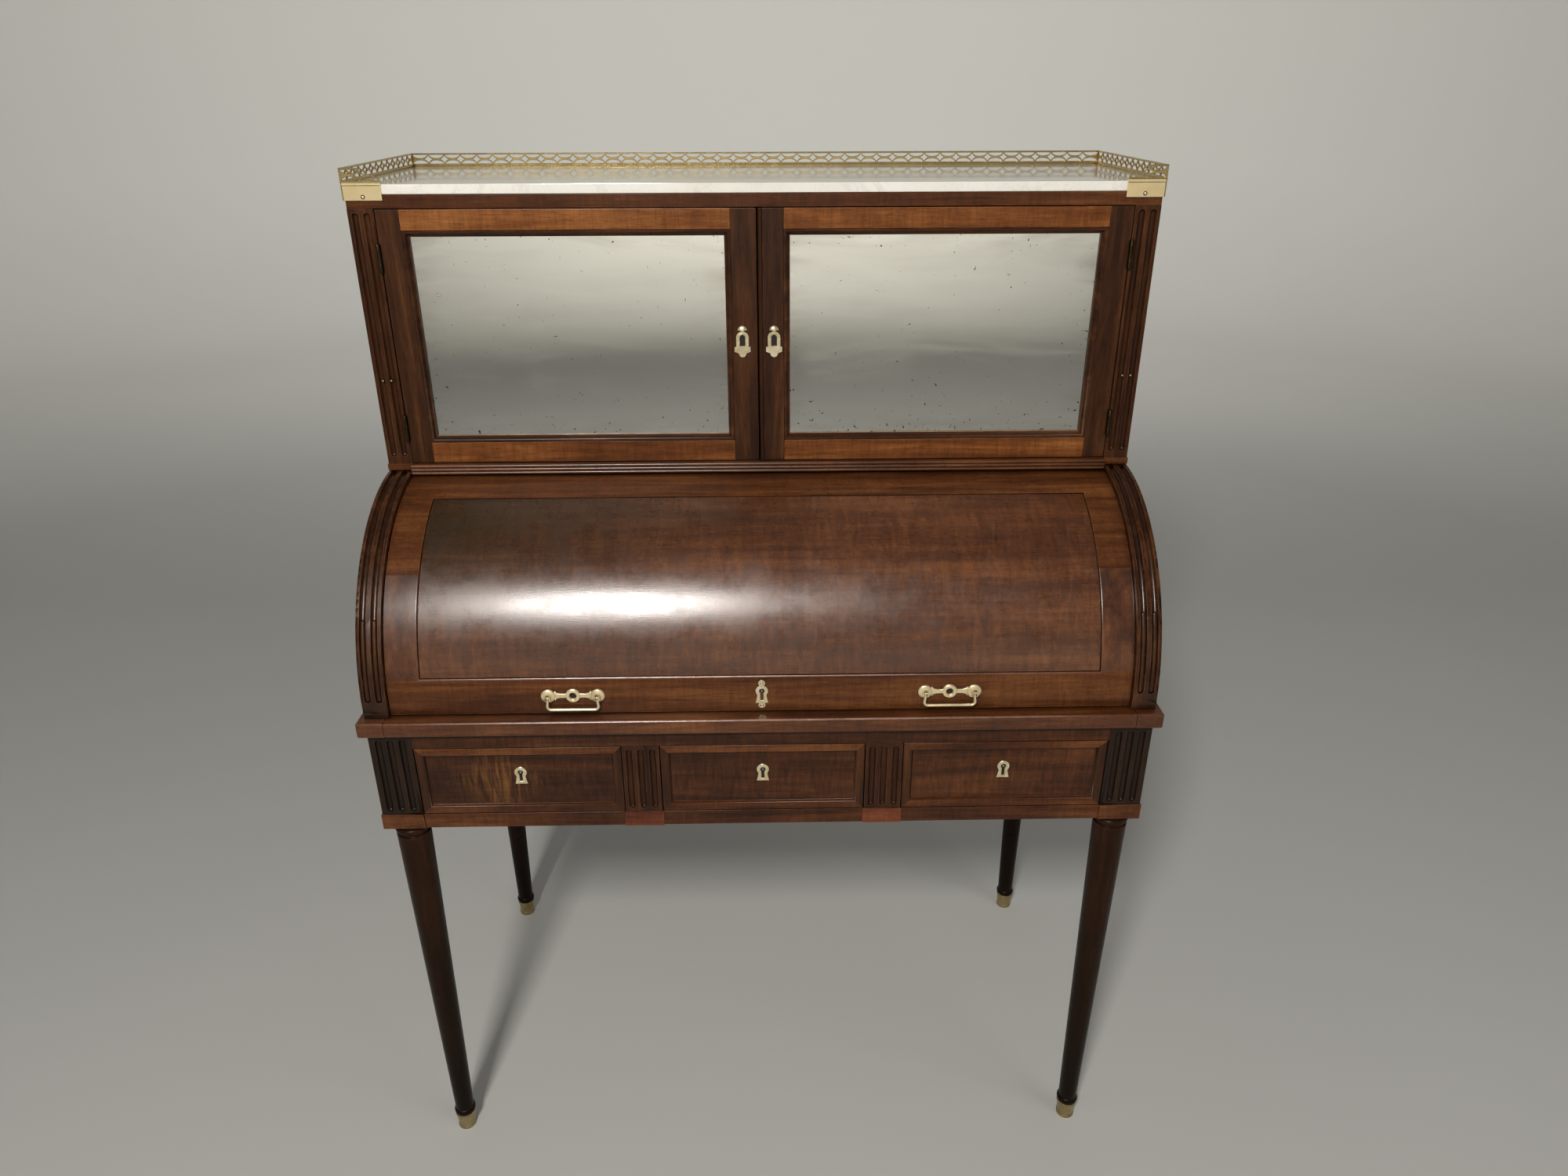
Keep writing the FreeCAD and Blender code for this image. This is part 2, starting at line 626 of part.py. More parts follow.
def nosed(shape, picks):
    """Round the edges whose middle satisfies one of the tests."""
    edges = [e for e in shape.Edges if any(pick(e.CenterOfMass) for pick in picks)]
    return shape.makeFillet(min(NOSE_R, BED_THICKNESS / 2.2), edges)


def near(a, b):
    """Whether two lengths are the same."""
    return abs(a - b) < 1e-6


def build_bed():
    """Moulded bed ends, rear board, and the leather-topped writing slide."""
    outer = HALF + BED_OVERHANG
    end = nosed(box(SLIDE_HALF, outer, FRONT, BACK, Z_BED, Z_WRITE), [
        lambda p: near(p.x, outer) and (near(p.z, Z_BED) or near(p.z, Z_WRITE)),
        lambda p: near(p.y, FRONT) and (near(p.z, Z_BED) or near(p.z, Z_WRITE)),
        lambda p: near(p.y, FRONT) and near(p.x, outer),
    ])
    ledge = box(SLIDE_HALF - LEDGE_WIDTH, FRIEZE_IN, Y_FRIEZE + POST_SIZE, BACK - POST_SIZE,
                Z_BED - LEDGE_HEIGHT, Z_BED)
    save("bed_ends", [end, ledge, mirrored(end), mirrored(ledge)])

    rear_board = box(-SLIDE_HALF, SLIDE_HALF, Y_SLIDE_BACK + SIDE_GAP, BACK, Z_BED, Z_WRITE)
    save("bed_rear_board", rear_board)

    half = SLIDE_HALF - SLIDE_CLEARANCE
    low = Z_BED + SLIDE_CLEARANCE
    high = Z_WRITE - SLIDE_CLEARANCE
    board = nosed(box(-half, half, FRONT, Y_SLIDE_BACK, low, high), [
        lambda p: near(p.y, FRONT) and (near(p.z, low) or near(p.z, high)),
    ])
    pocket = box(-half + LEATHER_MARGIN_SIDE, half - LEATHER_MARGIN_SIDE, FRONT + LEATHER_MARGIN_FRONT,
                 Y_SLIDE_BACK - LEATHER_MARGIN_BACK, high - LEATHER_THICKNESS, high)
    mortise = bolt_mortise(0, cylinder_bolt_y(), high - BOLT_THROW - FLAT_GAP)
    save("writing_slide", board.cut([pocket, mortise]))
    save("slide_leather", pocket)


def cylinder_bolt_y():
    """Depth of the cylinder lock's bolt."""
    return Y_ROLL - CYLINDER_IN_R - LOCK_DEPTH / 2


def build_case():
    """Sides with fluted quarter-round posts, back, top and the reeded sill under the doors."""
    arc = Part.Arc(*(roll_point(POST_RADIUS, a, CASE_IN) for a in (0, 45, 90))).toShape()
    corners = [(Y_ROLL, Z_CASE), (BACK, Z_CASE), (BACK, Z_WRITE), (Y_ROLL - POST_RADIUS, Z_WRITE),
               (Y_ROLL - POST_RADIUS, Z_ROLL)]
    rest = Part.makePolygon([V(CASE_IN, y, z) for y, z in corners]).Edges
    side = Part.Face(Part.Wire([arc] + rest)).extrude(V(CASE_SIDE, 0, 0))
    cables = []
    cable_line = POST_RADIUS - CABLE_R
    for offset in flute_offsets(STILE_FLUTES, STILE_FLUTE_PITCH):
        x = HALF - CASE_SIDE / 2 + offset
        side = side.cut(curved_bar(x, POST_RADIUS, FLUTE_R, FLUTE_START_ANGLE, FLUTE_STOP_ANGLE))
        cables.append(curved_bar(x, cable_line, CABLE_R, FLUTE_START_ANGLE, CABLE_STOP_ANGLE))
    hole = rod(PIVOT_R + PIN_GAP, V(CASE_IN, Y_ROLL, Z_ROLL),
               V(CASE_IN + PIVOT_LENGTH + SIDE_GAP, Y_ROLL, Z_ROLL))
    side = joined([side] + cables).cut(hole)
    for name in SIDES:
        save(name + "_case_side", on_side(side, name))

    save("case_back", box(-CASE_IN, CASE_IN, BACK - CASE_BACK, BACK, Z_WRITE, Z_CASE))
    top = box(-HALF, HALF, Y_GRADIN, Y_GRADIN_BACK, Z_CASE, Z_SILL)
    foot = box(DOOR_HALF, HALF + PLINTH_STEP, Y_GRADIN - PLINTH_STEP, Y_GRADIN + STILE_DEPTH, Z_CASE, Z_SILL)
    save("case_top", joined([top, foot, mirrored(foot)]))

    low = Z_CASE - SILL_DROP
    face = Y_GRADIN - SILL_DEPTH
    sill = prism_x([(face, low), (Y_GRADIN + SILL_TONGUE, low), (Y_GRADIN + SILL_TONGUE, Z_CASE),
                    (Y_GRADIN, Z_CASE), (Y_GRADIN, Z_SILL), (face, Z_SILL)], -DOOR_HALF, DOOR_HALF)
    pitch = (Z_SILL - low) / REED_COUNT
    reeds = []
    for i in range(REED_COUNT):
        z = low + (i + 0.5) * pitch
        reeds.append(rod(REED_R, V(-DOOR_HALF, face, z), V(DOOR_HALF, face, z)))
    save("sill_moulding", joined([sill] + reeds))


def curved_bar(x, centre_radius, radius, start, stop):
    """Round-ended bar along the post's curve, as a flute's cutter or the cable that fills it."""
    turn = math.radians(start)
    ring = Part.makeCircle(radius, roll_point(centre_radius, start, x), V(0, math.sin(turn), math.cos(turn)))
    bar = Part.Face(Part.Wire([ring])).revolve(roll_point(0, 0), -X_AXIS, stop - start)
    ends = [Part.makeSphere(radius, roll_point(centre_radius, a, x)) for a in (start, stop)]
    return joined([bar] + ends)


def outside_cylinder(shape):
    """What is left of a plate after the rolling cylinder's round face is taken from its back."""
    reach = HANDLE_X + HANDLE_HALF_SPAN + 2 * ROSETTE_R
    return shape.cut(rod(CYLINDER_R, V(-reach, Y_ROLL, Z_ROLL), V(reach, Y_ROLL, Z_ROLL)))


def front_of_cylinder(z):
    """Depth of the cylinder's face at a height."""
    return Y_ROLL - math.sqrt(CYLINDER_R ** 2 - (z - Z_ROLL) ** 2)


def build_cylinder():
    """Rolling cylinder with its arms, lock, bolt, handle plates and bails."""
    floor = Z_WRITE + CYLINDER_LIFT
    start = -math.degrees(math.asin((Z_ROLL - floor) / CYLINDER_IN_R)) - 1
    shell = roll_sector(CYLINDER_IN_R, CYLINDER_R, start, CYLINDER_BACK_ANGLE, -CYLINDER_HALF, CYLINDER_HALF)
    shell = shell.cut(box(-HALF, HALF, FRONT, BACK, Z_BED, floor))
    panel = roll_sector(CYLINDER_R - PANEL_SINK, CYLINDER_R + PANEL_SINK, PANEL_START_ANGLE,
                        PANEL_STOP_ANGLE, -PANEL_HALF, PANEL_HALF)
    lock_back = cylinder_bolt_y() + LOCK_DEPTH / 2
    lock_top = floor + CYLINDER_LOCK_HEIGHT
    case = box(-LOCK_WIDTH / 2, LOCK_WIDTH / 2, lock_back - LOCK_DEPTH, lock_back, floor, lock_top)
    key_z = floor + CYLINDER_KEY_RISE
    hole = keyhole(0, FRONT, lock_back, key_z)
    save("cylinder_shell", shell.cut([panel, case, hole]))

    half_x = BOLT_WIDTH / 2
    half_y = BOLT_THICKNESS / 2
    bolt_y = cylinder_bolt_y()
    bolt_low = floor + BOLT_SINK
    slot = box(-half_x - BOLT_GAP, half_x + BOLT_GAP, bolt_y - half_y - BOLT_GAP, bolt_y + half_y + BOLT_GAP,
               floor, bolt_low + BOLT_LENGTH + BOLT_GAP)
    key_pin = rod(KEY_PIN_R, V(0, front_of_cylinder(key_z), key_z), V(0, bolt_y, key_z))
    face = front_of_cylinder(key_z) - ESCUTCHEON_THICKNESS
    plate = escutcheon(0, face, key_z, 3 * ESCUTCHEON_THICKNESS, ringed=True)
    plate = outside_cylinder(plate.cut(hole))
    save("cylinder_lock", [joined([case.cut(slot), key_pin]), plate])
    save("cylinder_bolt", box(-half_x, half_x, bolt_y - half_y, bolt_y + half_y, bolt_low,
                              bolt_low + BOLT_LENGTH))

    arm_out = CASE_IN - ARM_GAP
    arm = roll_arm(arm_out - ARM_THICKNESS, arm_out)
    pin = rod(PIVOT_R, V(arm_out - ARM_THICKNESS / 2, Y_ROLL, Z_ROLL),
              V(CASE_IN + PIVOT_LENGTH, Y_ROLL, Z_ROLL))
    arm = joined([arm, pin])
    save("cylinder_arms", [arm, mirrored(arm)])

    plate = handle_plate()
    save("handle_backplates", [plate, mirrored(plate)])
    bail = handle_bail()
    for name in SIDES:
        save(name + "_bail", on_side(bail, name))


def roll_arm(x0, x1):
    """Arm from the pivot boss out to the cylinder's inner face, spreading as it goes."""
    middle = (ARM_START_ANGLE + ARM_STOP_ANGLE) / 2
    rim = Part.Arc(*(roll_point(CYLINDER_IN_R, a, x0) for a in (ARM_START_ANGLE, middle, ARM_STOP_ANGLE)))
    low = roll_point(BOSS_R, middle - 90, x0)
    high = roll_point(BOSS_R, middle + 90, x0)
    edges = [
        rim.toShape(),
        Part.LineSegment(roll_point(CYLINDER_IN_R, ARM_STOP_ANGLE, x0), high).toShape(),
        Part.LineSegment(high, low).toShape(),
        Part.LineSegment(low, roll_point(CYLINDER_IN_R, ARM_START_ANGLE, x0)).toShape(),
    ]
    blade = Part.Face(Part.Wire(edges)).extrude(V(x1 - x0, 0, 0))
    boss = rod(BOSS_R, V(x0, Y_ROLL, Z_ROLL), V(x1, Y_ROLL, Z_ROLL))
    return joined([blade, boss])


def handle_place():
    """Height of a handle's middle, the depth of its plate's face and that of its bail's pivot."""
    z = Z_WRITE + HANDLE_RISE
    face = front_of_cylinder(z) - PLATE_THICKNESS
    return z, face, face - BAIL_PIVOT_OUT


def handle_plate():
    """Right handle's backplate: pierced ring, pointed arms, end rosettes and slotted studs."""
    z, face, pivot_y = handle_place()
    thick = 3 * PLATE_THICKNESS
    parts = [disc(HANDLE_X, face, z, RING_R, thick)]
    studs = []
    for sign in (-1, 1):
        x = HANDLE_X + sign * HANDLE_HALF_SPAN
        parts.append(disc(x, face, z, ROSETTE_R, thick))
        tip = x - sign * ARM_TIP_REACH
        spread = tip - sign * ARM_TIP_HALF
        edge = [(HANDLE_X, ARM_WAIST), (spread, ARM_WAIST), (tip, ARM_TIP_HALF), (x, ARM_WAIST)]
        points = [(px, z + half) for px, half in edge] + [(px, z - half) for px, half in edge[::-1]]
        parts.append(flat_plate(points, face, thick))
        stud = rod(STUD_R, V(x, face + PLATE_THICKNESS / 2, z), V(x, face - STUD_LENGTH, z))
        slot_half = BAIL_R + BAIL_SLOT_GAP
        slot = box(x - slot_half, x + slot_half, face - STUD_LENGTH, pivot_y + BAIL_R + BAIL_SWING_ROOM,
                   z - STUD_R, z + STUD_R)
        bore = rod(BAIL_PIN_R + PIN_GAP, V(x - STUD_R, pivot_y, z), V(x + STUD_R, pivot_y, z))
        studs.append(stud.cut([slot, bore]))
    plate = joined(parts).cut(disc(HANDLE_X, face, z, RING_HOLE_R, thick))
    return joined([outside_cylinder(plate)] + studs)


def handle_bail():
    """Right handle's bail: a bent rod whose ends turn on pins in the studs' slots."""
    z, _, y = handle_place()
    arm = HANDLE_HALF_SPAN
    low = z - BAIL_DROP
    bend = BAIL_BEND_R
    ease = bend * (1 - math.sqrt(0.5))
    left = HANDLE_X - arm
    right = HANDLE_X + arm
    edges = [
        Part.LineSegment(V(left, y, z), V(left, y, low + bend)).toShape(),
        Part.Arc(V(left, y, low + bend), V(left + ease, y, low + ease), V(left + bend, y, low)).toShape(),
        Part.LineSegment(V(left + bend, y, low), V(right - bend, y, low)).toShape(),
        Part.Arc(V(right - bend, y, low), V(right - ease, y, low + ease), V(right, y, low + bend)).toShape(),
        Part.LineSegment(V(right, y, low + bend), V(right, y, z)).toShape(),
    ]
    ring = Part.Wire([Part.makeCircle(BAIL_R, V(left, y, z), V(0, 0, -1))])
    parts = [Part.Wire(edges).makePipeShell([ring], True, True)]
    for x in (left, right):
        parts.append(Part.makeSphere(BAIL_R, V(x, y, z)))
        parts.append(rod(BAIL_PIN_R, V(x - BAIL_PIN_REACH, y, z), V(x + BAIL_PIN_REACH, y, z)))
    return joined(parts)


def build_cabinet():
    """Upper cabinet: sides with fluted stiles, top, back and shelf."""
    stile = box(DOOR_HALF, HALF, Y_GRADIN, Y_GRADIN + STILE_DEPTH, Z_SILL, Z_DOOR_TOP)
    flute_low = Z_SILL + FLUTE_END_MARGIN
    flute_high = Z_DOOR_TOP - FLUTE_END_MARGIN / 2
    for offset in flute_offsets(STILE_FLUTES, STILE_FLUTE_PITCH):
        x = HALF - STILE_WIDTH / 2 + offset
        stile = stile.cut(straight_flute(x, Y_GRADIN, flute_low, flute_high))
    leaves = fixed_leaves()
    stile = stile.cut([leaf.common(stile) for leaf in leaves])
    pins = []
    for offset in flute_offsets(STILE_FLUTES, STILE_PIN_PITCH):
        x = HALF - STILE_WIDTH / 2 + offset
        z = Z_SILL + STILE_PIN_RISE
        pins.append(rod(STILE_PIN_R, V(x, Y_GRADIN + FLUTE_R, z), V(x, Y_GRADIN - STILE_PIN_PROUD, z)))
    side = box(HALF - GRADIN_SIDE, HALF, Y_GRADIN + STILE_DEPTH, Y_GRADIN_BACK, Z_SILL, Z_DOOR_TOP)
    solids = [side, stile.cut(pins)] + pins
    for name in SIDES:
        save("gradin_" + name + "_side", [on_side(solid, name) for solid in solids])

    inner = HALF - GRADIN_SIDE
    back_face = Y_GRADIN_BACK - GRADIN_BACK
    save("gradin_top", box(-HALF, HALF, Y_GRADIN, Y_GRADIN_BACK, Z_DOOR_TOP, Z_MARBLE))
    save("gradin_back", box(-inner, inner, back_face, Y_GRADIN_BACK, Z_SILL, Z_DOOR_TOP))
    shelf_z = Z_SILL + SHELF_RISE
    save("gradin_shelf", box(-inner, inner, Y_GRADIN + SHELF_SETBACK, back_face, shelf_z,
                             shelf_z + SHELF_THICKNESS))
    save("fixed_hinge_leaves", leaves + [mirrored(leaf) for leaf in leaves])


def hinge_axis():
    """Depth of the doors' hinge axis, just in front of their faces."""
    return Y_GRADIN - KNUCKLE_R - CURVE_GAP


def hinge_levels():
    """Lower ends of the two hinges on a door."""
    return [z - HINGE_LENGTH / 2 for z in (Z_SILL + HINGE_LOW_RISE, Z_DOOR_TOP - HINGE_HIGH_DROP)]


def knuckle(z0, z1, radius):
    """Part of a hinge's barrel on the right-hand hinge axis."""
    return rod(radius, V(DOOR_HALF, hinge_axis(), z0), V(DOOR_HALF, hinge_axis(), z1))


def leaf_plate(x0, z0, z1, tongue0, tongue1):
    """Hinge leaf with the tongue that reaches its knuckle."""
    plate = box(x0, x0 + LEAF_THICKNESS, Y_GRADIN, Y_GRADIN + LEAF_WIDTH, z0, z1)
    tongue = box(x0, x0 + LEAF_THICKNESS, hinge_axis(), Y_GRADIN + LEAF_WIDTH, tongue0, tongue1)
    return [plate, tongue]


def fixed_leaves():
    """Right-hand fixed leaves, each with its end knuckles and its pin."""
    third = HINGE_LENGTH / 3
    leaves = []
    for z in hinge_levels():
        parts = [knuckle(z, z + HINGE_LENGTH, HINGE_PIN_R)]
        for low in (z, z + 2 * third):
            parts.append(knuckle(low, low + third, KNUCKLE_R))
            parts += leaf_plate(DOOR_HALF, z, z + HINGE_LENGTH, low, low + third)
        leaves.append(joined(parts))
    return leaves


def moving_leaves():
    """Right-hand moving leaves, each with its middle knuckle."""
    third = HINGE_LENGTH / 3
    leaves = []
    for z in hinge_levels():
        low = z + third + KNUCKLE_GAP
        high = z + 2 * third - KNUCKLE_GAP
        plate = leaf_plate(DOOR_HALF - DOOR_GAP - LEAF_THICKNESS, z, z + HINGE_LENGTH, low, high)
        leaf = joined([knuckle(low, high, KNUCKLE_R)] + plate)
        leaves.append(leaf.cut(knuckle(z, z + HINGE_LENGTH, HINGE_PIN_R + PIN_GAP)))
    return leaves


def build_doors():
    """Two doors, each of stiles and rails round a mirror, with a backing board and hinge leaves."""
    x0 = MEETING_GAP / 2
    x1 = DOOR_HALF - DOOR_GAP
    z0 = Z_SILL + DOOR_GAP
    z1 = Z_DOOR_TOP - DOOR_GAP
    y0 = Y_GRADIN
    y1 = Y_GRADIN + DOOR_THICKNESS
    sight_x = (x0 + INNER_STILE, x1 - OUTER_STILE)
    sight_z = (z0 + DOOR_BOTTOM_RAIL, z1 - DOOR_TOP_RAIL)
    rebate_x = (sight_x[0] - MIRROR_LAP, sight_x[1] + MIRROR_LAP)
    rebate_z = (sight_z[0] - MIRROR_LAP, sight_z[1] + MIRROR_LAP)
    mirror_y = y0 + MIRROR_SETBACK
    board_y = mirror_y + MIRROR_THICKNESS
    leaves = moving_leaves()

    key_z = Z_SILL + DOOR_OPENING_HEIGHT / 2 + DOOR_KEY_RISE
    bolt_z = key_z + BOLT_WIDTH / 2
    case = box(x0, rebate_x[0], y1 - LOCK_DEPTH, y1, key_z - LOCK_HEIGHT / 2, key_z + LOCK_HEIGHT / 2)
    bolt_y = y1 - LOCK_DEPTH / 2
    half_y = BOLT_THICKNESS / 2
    half_z = BOLT_WIDTH / 2
    bolt = box(x0 + BOLT_SINK, x0 + BOLT_SINK + BOLT_LENGTH, bolt_y - half_y, bolt_y + half_y,
               bolt_z - half_z, bolt_z + half_z)
    slot = box(x0, x0 + BOLT_SINK + BOLT_LENGTH + BOLT_GAP, bolt_y - half_y - BOLT_GAP,
               bolt_y + half_y + BOLT_GAP, bolt_z - half_z - BOLT_GAP, bolt_z + half_z + BOLT_GAP)
    mortise = box(x0, x0 + BOLT_THROW + MEETING_GAP, bolt_y - half_y - BOLT_GAP, bolt_y + half_y + BOLT_GAP,
                  bolt_z - half_z - BOLT_GAP, bolt_z + half_z + BOLT_GAP)

    frame = box(x0, x1, y0, y1, z0, z1)
    sight = box(*sight_x, y0, y1, *sight_z)
    rebate = box(*rebate_x, mirror_y, y1, *rebate_z)
    slope = tapered_cutter(sight_x, sight_z, y0, -SIGHT_BEVEL, SIGHT_BEVEL, SIGHT_BEVEL_DEPTH)
    frame = frame.cut([sight, rebate, slope] + leaves)
    bead = rod(BEAD_R, V(x0 + BEAD_R, y0, z0), V(x0 + BEAD_R, y0, z1))

    for name in SIDES:
        right = SIDES[name] > 0
        hole = keyhole(DOOR_KEY_X, y0, y1, key_z)
        body = frame.cut([case, hole]) if right else frame.cut([mortise, hole])
        if right:
            body = joined([body, bead.cut(case)])
        members = [
            body.common(box(x0, sight_x[0], FRONT, BACK, z0, z1)),
            body.common(box(sight_x[1], x1, FRONT, BACK, z0, z1)),
            body.common(box(sight_x[0], sight_x[1], FRONT, BACK, z0, sight_z[0])),
            body.common(box(sight_x[0], sight_x[1], FRONT, BACK, sight_z[1], z1)),
        ]
        save(name + "_door_frame", [on_side(member, name) for member in members])
        mirror = box(*rebate_x, mirror_y, board_y, *rebate_z)
        save(name + "_mirror", on_side(mirror, name))
        board = box(*rebate_x, board_y, board_y + DOOR_BACK_THICKNESS, *rebate_z)
        save(name + "_door_back", on_side(board, name))
        save(name + "_hinge_leaves", [on_side(leaf, name) for leaf in leaves])
        plate = loop_escutcheon(DOOR_KEY_X, y0 - ESCUTCHEON_THICKNESS, key_z, ESCUTCHEON_THICKNESS)
        if right:
            save("right_door_lock", [case.cut(slot), plate])
        else:
            save("left_door_escutcheon", mirrored(plate))
    save("right_door_bolt", bolt)


def arc_wire(points):
    """Closed wire of arcs and lines; a point marked True is the middle of an arc."""
    edges = []
    here = points[0][0]
    i = 1
    while i < len(points):
        point, is_middle = points[i]
        if is_middle:
            end = points[(i + 1) % len(points)][0]
            edges.append(Part.Arc(here, point, end).toShape())
            here = end
            i += 2
        else:
            edges.append(Part.LineSegment(here, point).toShape())
            here = point
            i += 1
    if here.distanceToPoint(points[0][0]) > 1e-7:
        edges.append(Part.LineSegment(here, points[0][0]).toShape())
    return Part.Wire(edges)


def swept_outline(length, pitch):
    """Rim of a strip whose far end sweeps down over its last arch."""
    middle = GALLERY_HEIGHT / 2 + GALLERY_WIRE / 2
    crown = length - GALLERY_WIRE / 2 - pitch / 2
    edge = crown - pitch / 2
    reach = length - crown
    return arc_wire([
        (V(0, 0, 0), False), (V(length, 0, 0), False), (V(length, 0, GALLERY_RAIL), False),
        (V(crown + SWEEP_BOW * reach, 0, GALLERY_RAIL + SWEEP_BOW * (middle - GALLERY_RAIL)), True),
        (V(crown, 0, middle), False),
        (V(edge + LOZENGE_BOW * pitch / 2, 0, middle + LOZENGE_BOW * (GALLERY_HEIGHT - middle)), True),
        (V(edge + GALLERY_WIRE, 0, GALLERY_HEIGHT), False), (V(0, 0, GALLERY_HEIGHT), False),
    ])


def gallery_strip(length, swept=False):
    """Pierced strip along X from the origin: arches below, hanging arches above, lozenges between."""
    low = GALLERY_RAIL
    high = GALLERY_HEIGHT - GALLERY_RAIL
    middle = GALLERY_HEIGHT / 2
    count = max(1, int((length - GALLERY_WIRE) // GALLERY_PITCH))
    pitch = (length - GALLERY_WIRE) / count
    half = pitch / 2 - GALLERY_WIRE
    rise = middle - low - GALLERY_WIRE
    outer = Part.makePolygon([V(0, 0, 0), V(length, 0, 0), V(length, 0, GALLERY_HEIGHT),
                              V(0, 0, GALLERY_HEIGHT), V(0, 0, 0)])
    if swept:
        outer = swept_outline(length, pitch)
    holes = []
    for i in range(count):
        x = GALLERY_WIRE / 2 + (i + 0.5) * pitch
        for base, up in ((low, 1), (high, -1)):
            if swept and up < 0 and i + 1 == count:
                continue
            holes.append(arc_wire([(V(x - half, 0, base), False), (V(x, 0, base + up * rise), True),
                                   (V(x + half, 0, base), False)]))
        if i + 1 < count:
            edge = x + pitch / 2
            wide = pitch / 2 - GALLERY_CROWN
            tall = middle - low - GALLERY_FOOT
            points = [(V(edge - wide, 0, middle), False)]
            for sx, sz, ex, ez in ((-1, 1, 0, tall), (1, 1, wide, 0), (1, -1, 0, -tall), (-1, -1, -wide, 0)):
                points.append((V(edge + sx * wide * LOZENGE_BOW, 0, middle + sz * tall * LOZENGE_BOW), True))
                points.append((V(edge + ex, 0, middle + ez), False))
            holes.append(arc_wire(points[:-1]))
    face = Part.Face(outer)
    face = face.cut(Part.makeCompound([Part.Face(hole) for hole in holes]))
    return face.extrude(V(0, BAND_THICKNESS, 0))


def build_top():
    """Marble slab, the plain brass band round its edge and the pierced gallery on the band."""
    band = BAND_THICKNESS
    band_low = Z_MARBLE - BAND_DROP
    band_high = Z_SLAB + BAND_RISE
    save("marble_top", box(-HALF, HALF, Y_GRADIN, Y_GRADIN_BACK, Z_MARBLE, Z_SLAB))

    face = Y_GRADIN - band
    back = Y_GRADIN_BACK + band
    inner = HALF - RETURN_LENGTH
    run = back - band - Y_GRADIN
    side_band = box(HALF, HALF + band, Y_GRADIN, Y_GRADIN_BACK, band_low, band_high)
    return_band = box(inner, HALF + band, face, Y_GRADIN, band_low, band_high)
    pin_x = HALF - RETURN_LENGTH / 2
    pin_z = band_low + 2 * BAND_PIN_R
    pin = rod(BAND_PIN_R, V(pin_x, face - BAND_PIN_PROUD, pin_z), V(pin_x, Y_GRADIN, pin_z))
    return_band = joined([return_band, pin])
    back_band = box(-HALF - band, HALF + band, Y_GRADIN_BACK, back, band_low, band_high)

    back_strip = gallery_strip(2 * (HALF + band))
    back_strip.translate(V(-HALF - band, Y_GRADIN_BACK, band_high))
    side_strip = gallery_strip(run)
    side_strip.rotate(ORIGIN, Z_AXIS, 90)
    side_strip.translate(V(HALF + band, Y_GRADIN, band_high))
    return_strip = mirrored(gallery_strip(RETURN_LENGTH + band, swept=True))
    return_strip.translate(V(HALF + band, face, band_high))
    pairs = [side_band, return_band, side_strip, return_strip]
    save("gallery", [back_band, back_strip] + pairs + [mirrored(piece) for piece in pairs])


def build_nest():
    """Nest behind the cylinder: carcass, small drawers below and pigeonholes above."""
    front = Y_NEST
    back = Y_NEST_BACK
    low = Z_WRITE
    high = Z_NEST_TOP
    half = NEST_HALF
    board = NEST_BOARD
    inner = half - board
    floor = low + board
    shelf = floor + NEST_DRAWER_HEIGHT
    roof = high - board
    boards = [
        box(-half, -inner, front, back, low, high),
        box(inner, half, front, back, low, high),
        box(-inner, inner, front, back, low, floor),
        box(-inner, inner, front, back, shelf, shelf + board),
        box(-inner, inner, front, back, roof, high),
        box(-inner, inner, back - board, back, floor, shelf),
        box(-inner, inner, back - board, back, shelf + board, roof),
    ]
    width = (2 * inner - (NEST_DRAWERS - 1) * board) / NEST_DRAWERS
    for i in range(NEST_DRAWERS):
        x = -inner + i * (width + board)
        if i:
            boards.append(box(x - board, x, front, back - board, floor, shelf))
        build_nest_drawer(i, (x, x + width), (floor, shelf), front, back - board - NEST_BACK_GAP)
    hole = (2 * inner - (NEST_HOLES - 1) * board) / NEST_HOLES
    for i in range(1, NEST_HOLES):
        x = -inner + i * (hole + board)
        boards.append(box(x - board, x, front, back - board, shelf + board, roof))
    save("nest_carcass", boards)


def build_nest_drawer(index, x_range, z_range, front, end):
    """One small drawer with its turned knob."""
    x0 = x_range[0] + FLAT_GAP
    x1 = x_range[1] - FLAT_GAP
    z0 = z_range[0]
    z1 = z_range[1] - FLAT_GAP
    wall = NEST_DRAWER_BOARD
    face_back = front + NEST_FRONT
    top = z1 - NEST_FRONT
    x = (x0 + x1) / 2
    z = (z0 + z1) / 2
    neck = rod(KNOB_NECK_R, V(x, front, z), V(x, front - KNOB_LENGTH / 2, z))
    ball = Part.makeSphere(KNOB_R, V(x, front - KNOB_LENGTH + KNOB_R, z))
    name = ("left", "middle", "right")[index]
    save(name + "_nest_drawer", [
        box(x0, x1, front, face_back, z0, z1),
        box(x0, x0 + wall, face_back, end, z0, top),
        box(x1 - wall, x1, face_back, end, z0, top),
        box(x0 + wall, x1 - wall, end - wall, end, z0, top),
        box(x0 + wall, x1 - wall, face_back, end - wall, z0, z0 + wall),
        joined([neck, ball]),
    ])


def main():
    """Write every node."""
    os.makedirs("parts", exist_ok=True)
    build_legs()
    build_frieze()
    for name, opening in DRAWER_OPENINGS.items():
        build_drawer(name, opening)
    build_bed()
    build_case()
    build_cylinder()
    build_cabinet()
    build_doors()
    build_top()
    build_nest()


main()
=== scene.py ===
"""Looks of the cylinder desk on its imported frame: finishes, fine shapes, floor, light and camera."""
import json
import math
import bmesh
import bpy
from mathutils import Matrix, Vector
from mathutils.geometry import tessellate_polygon

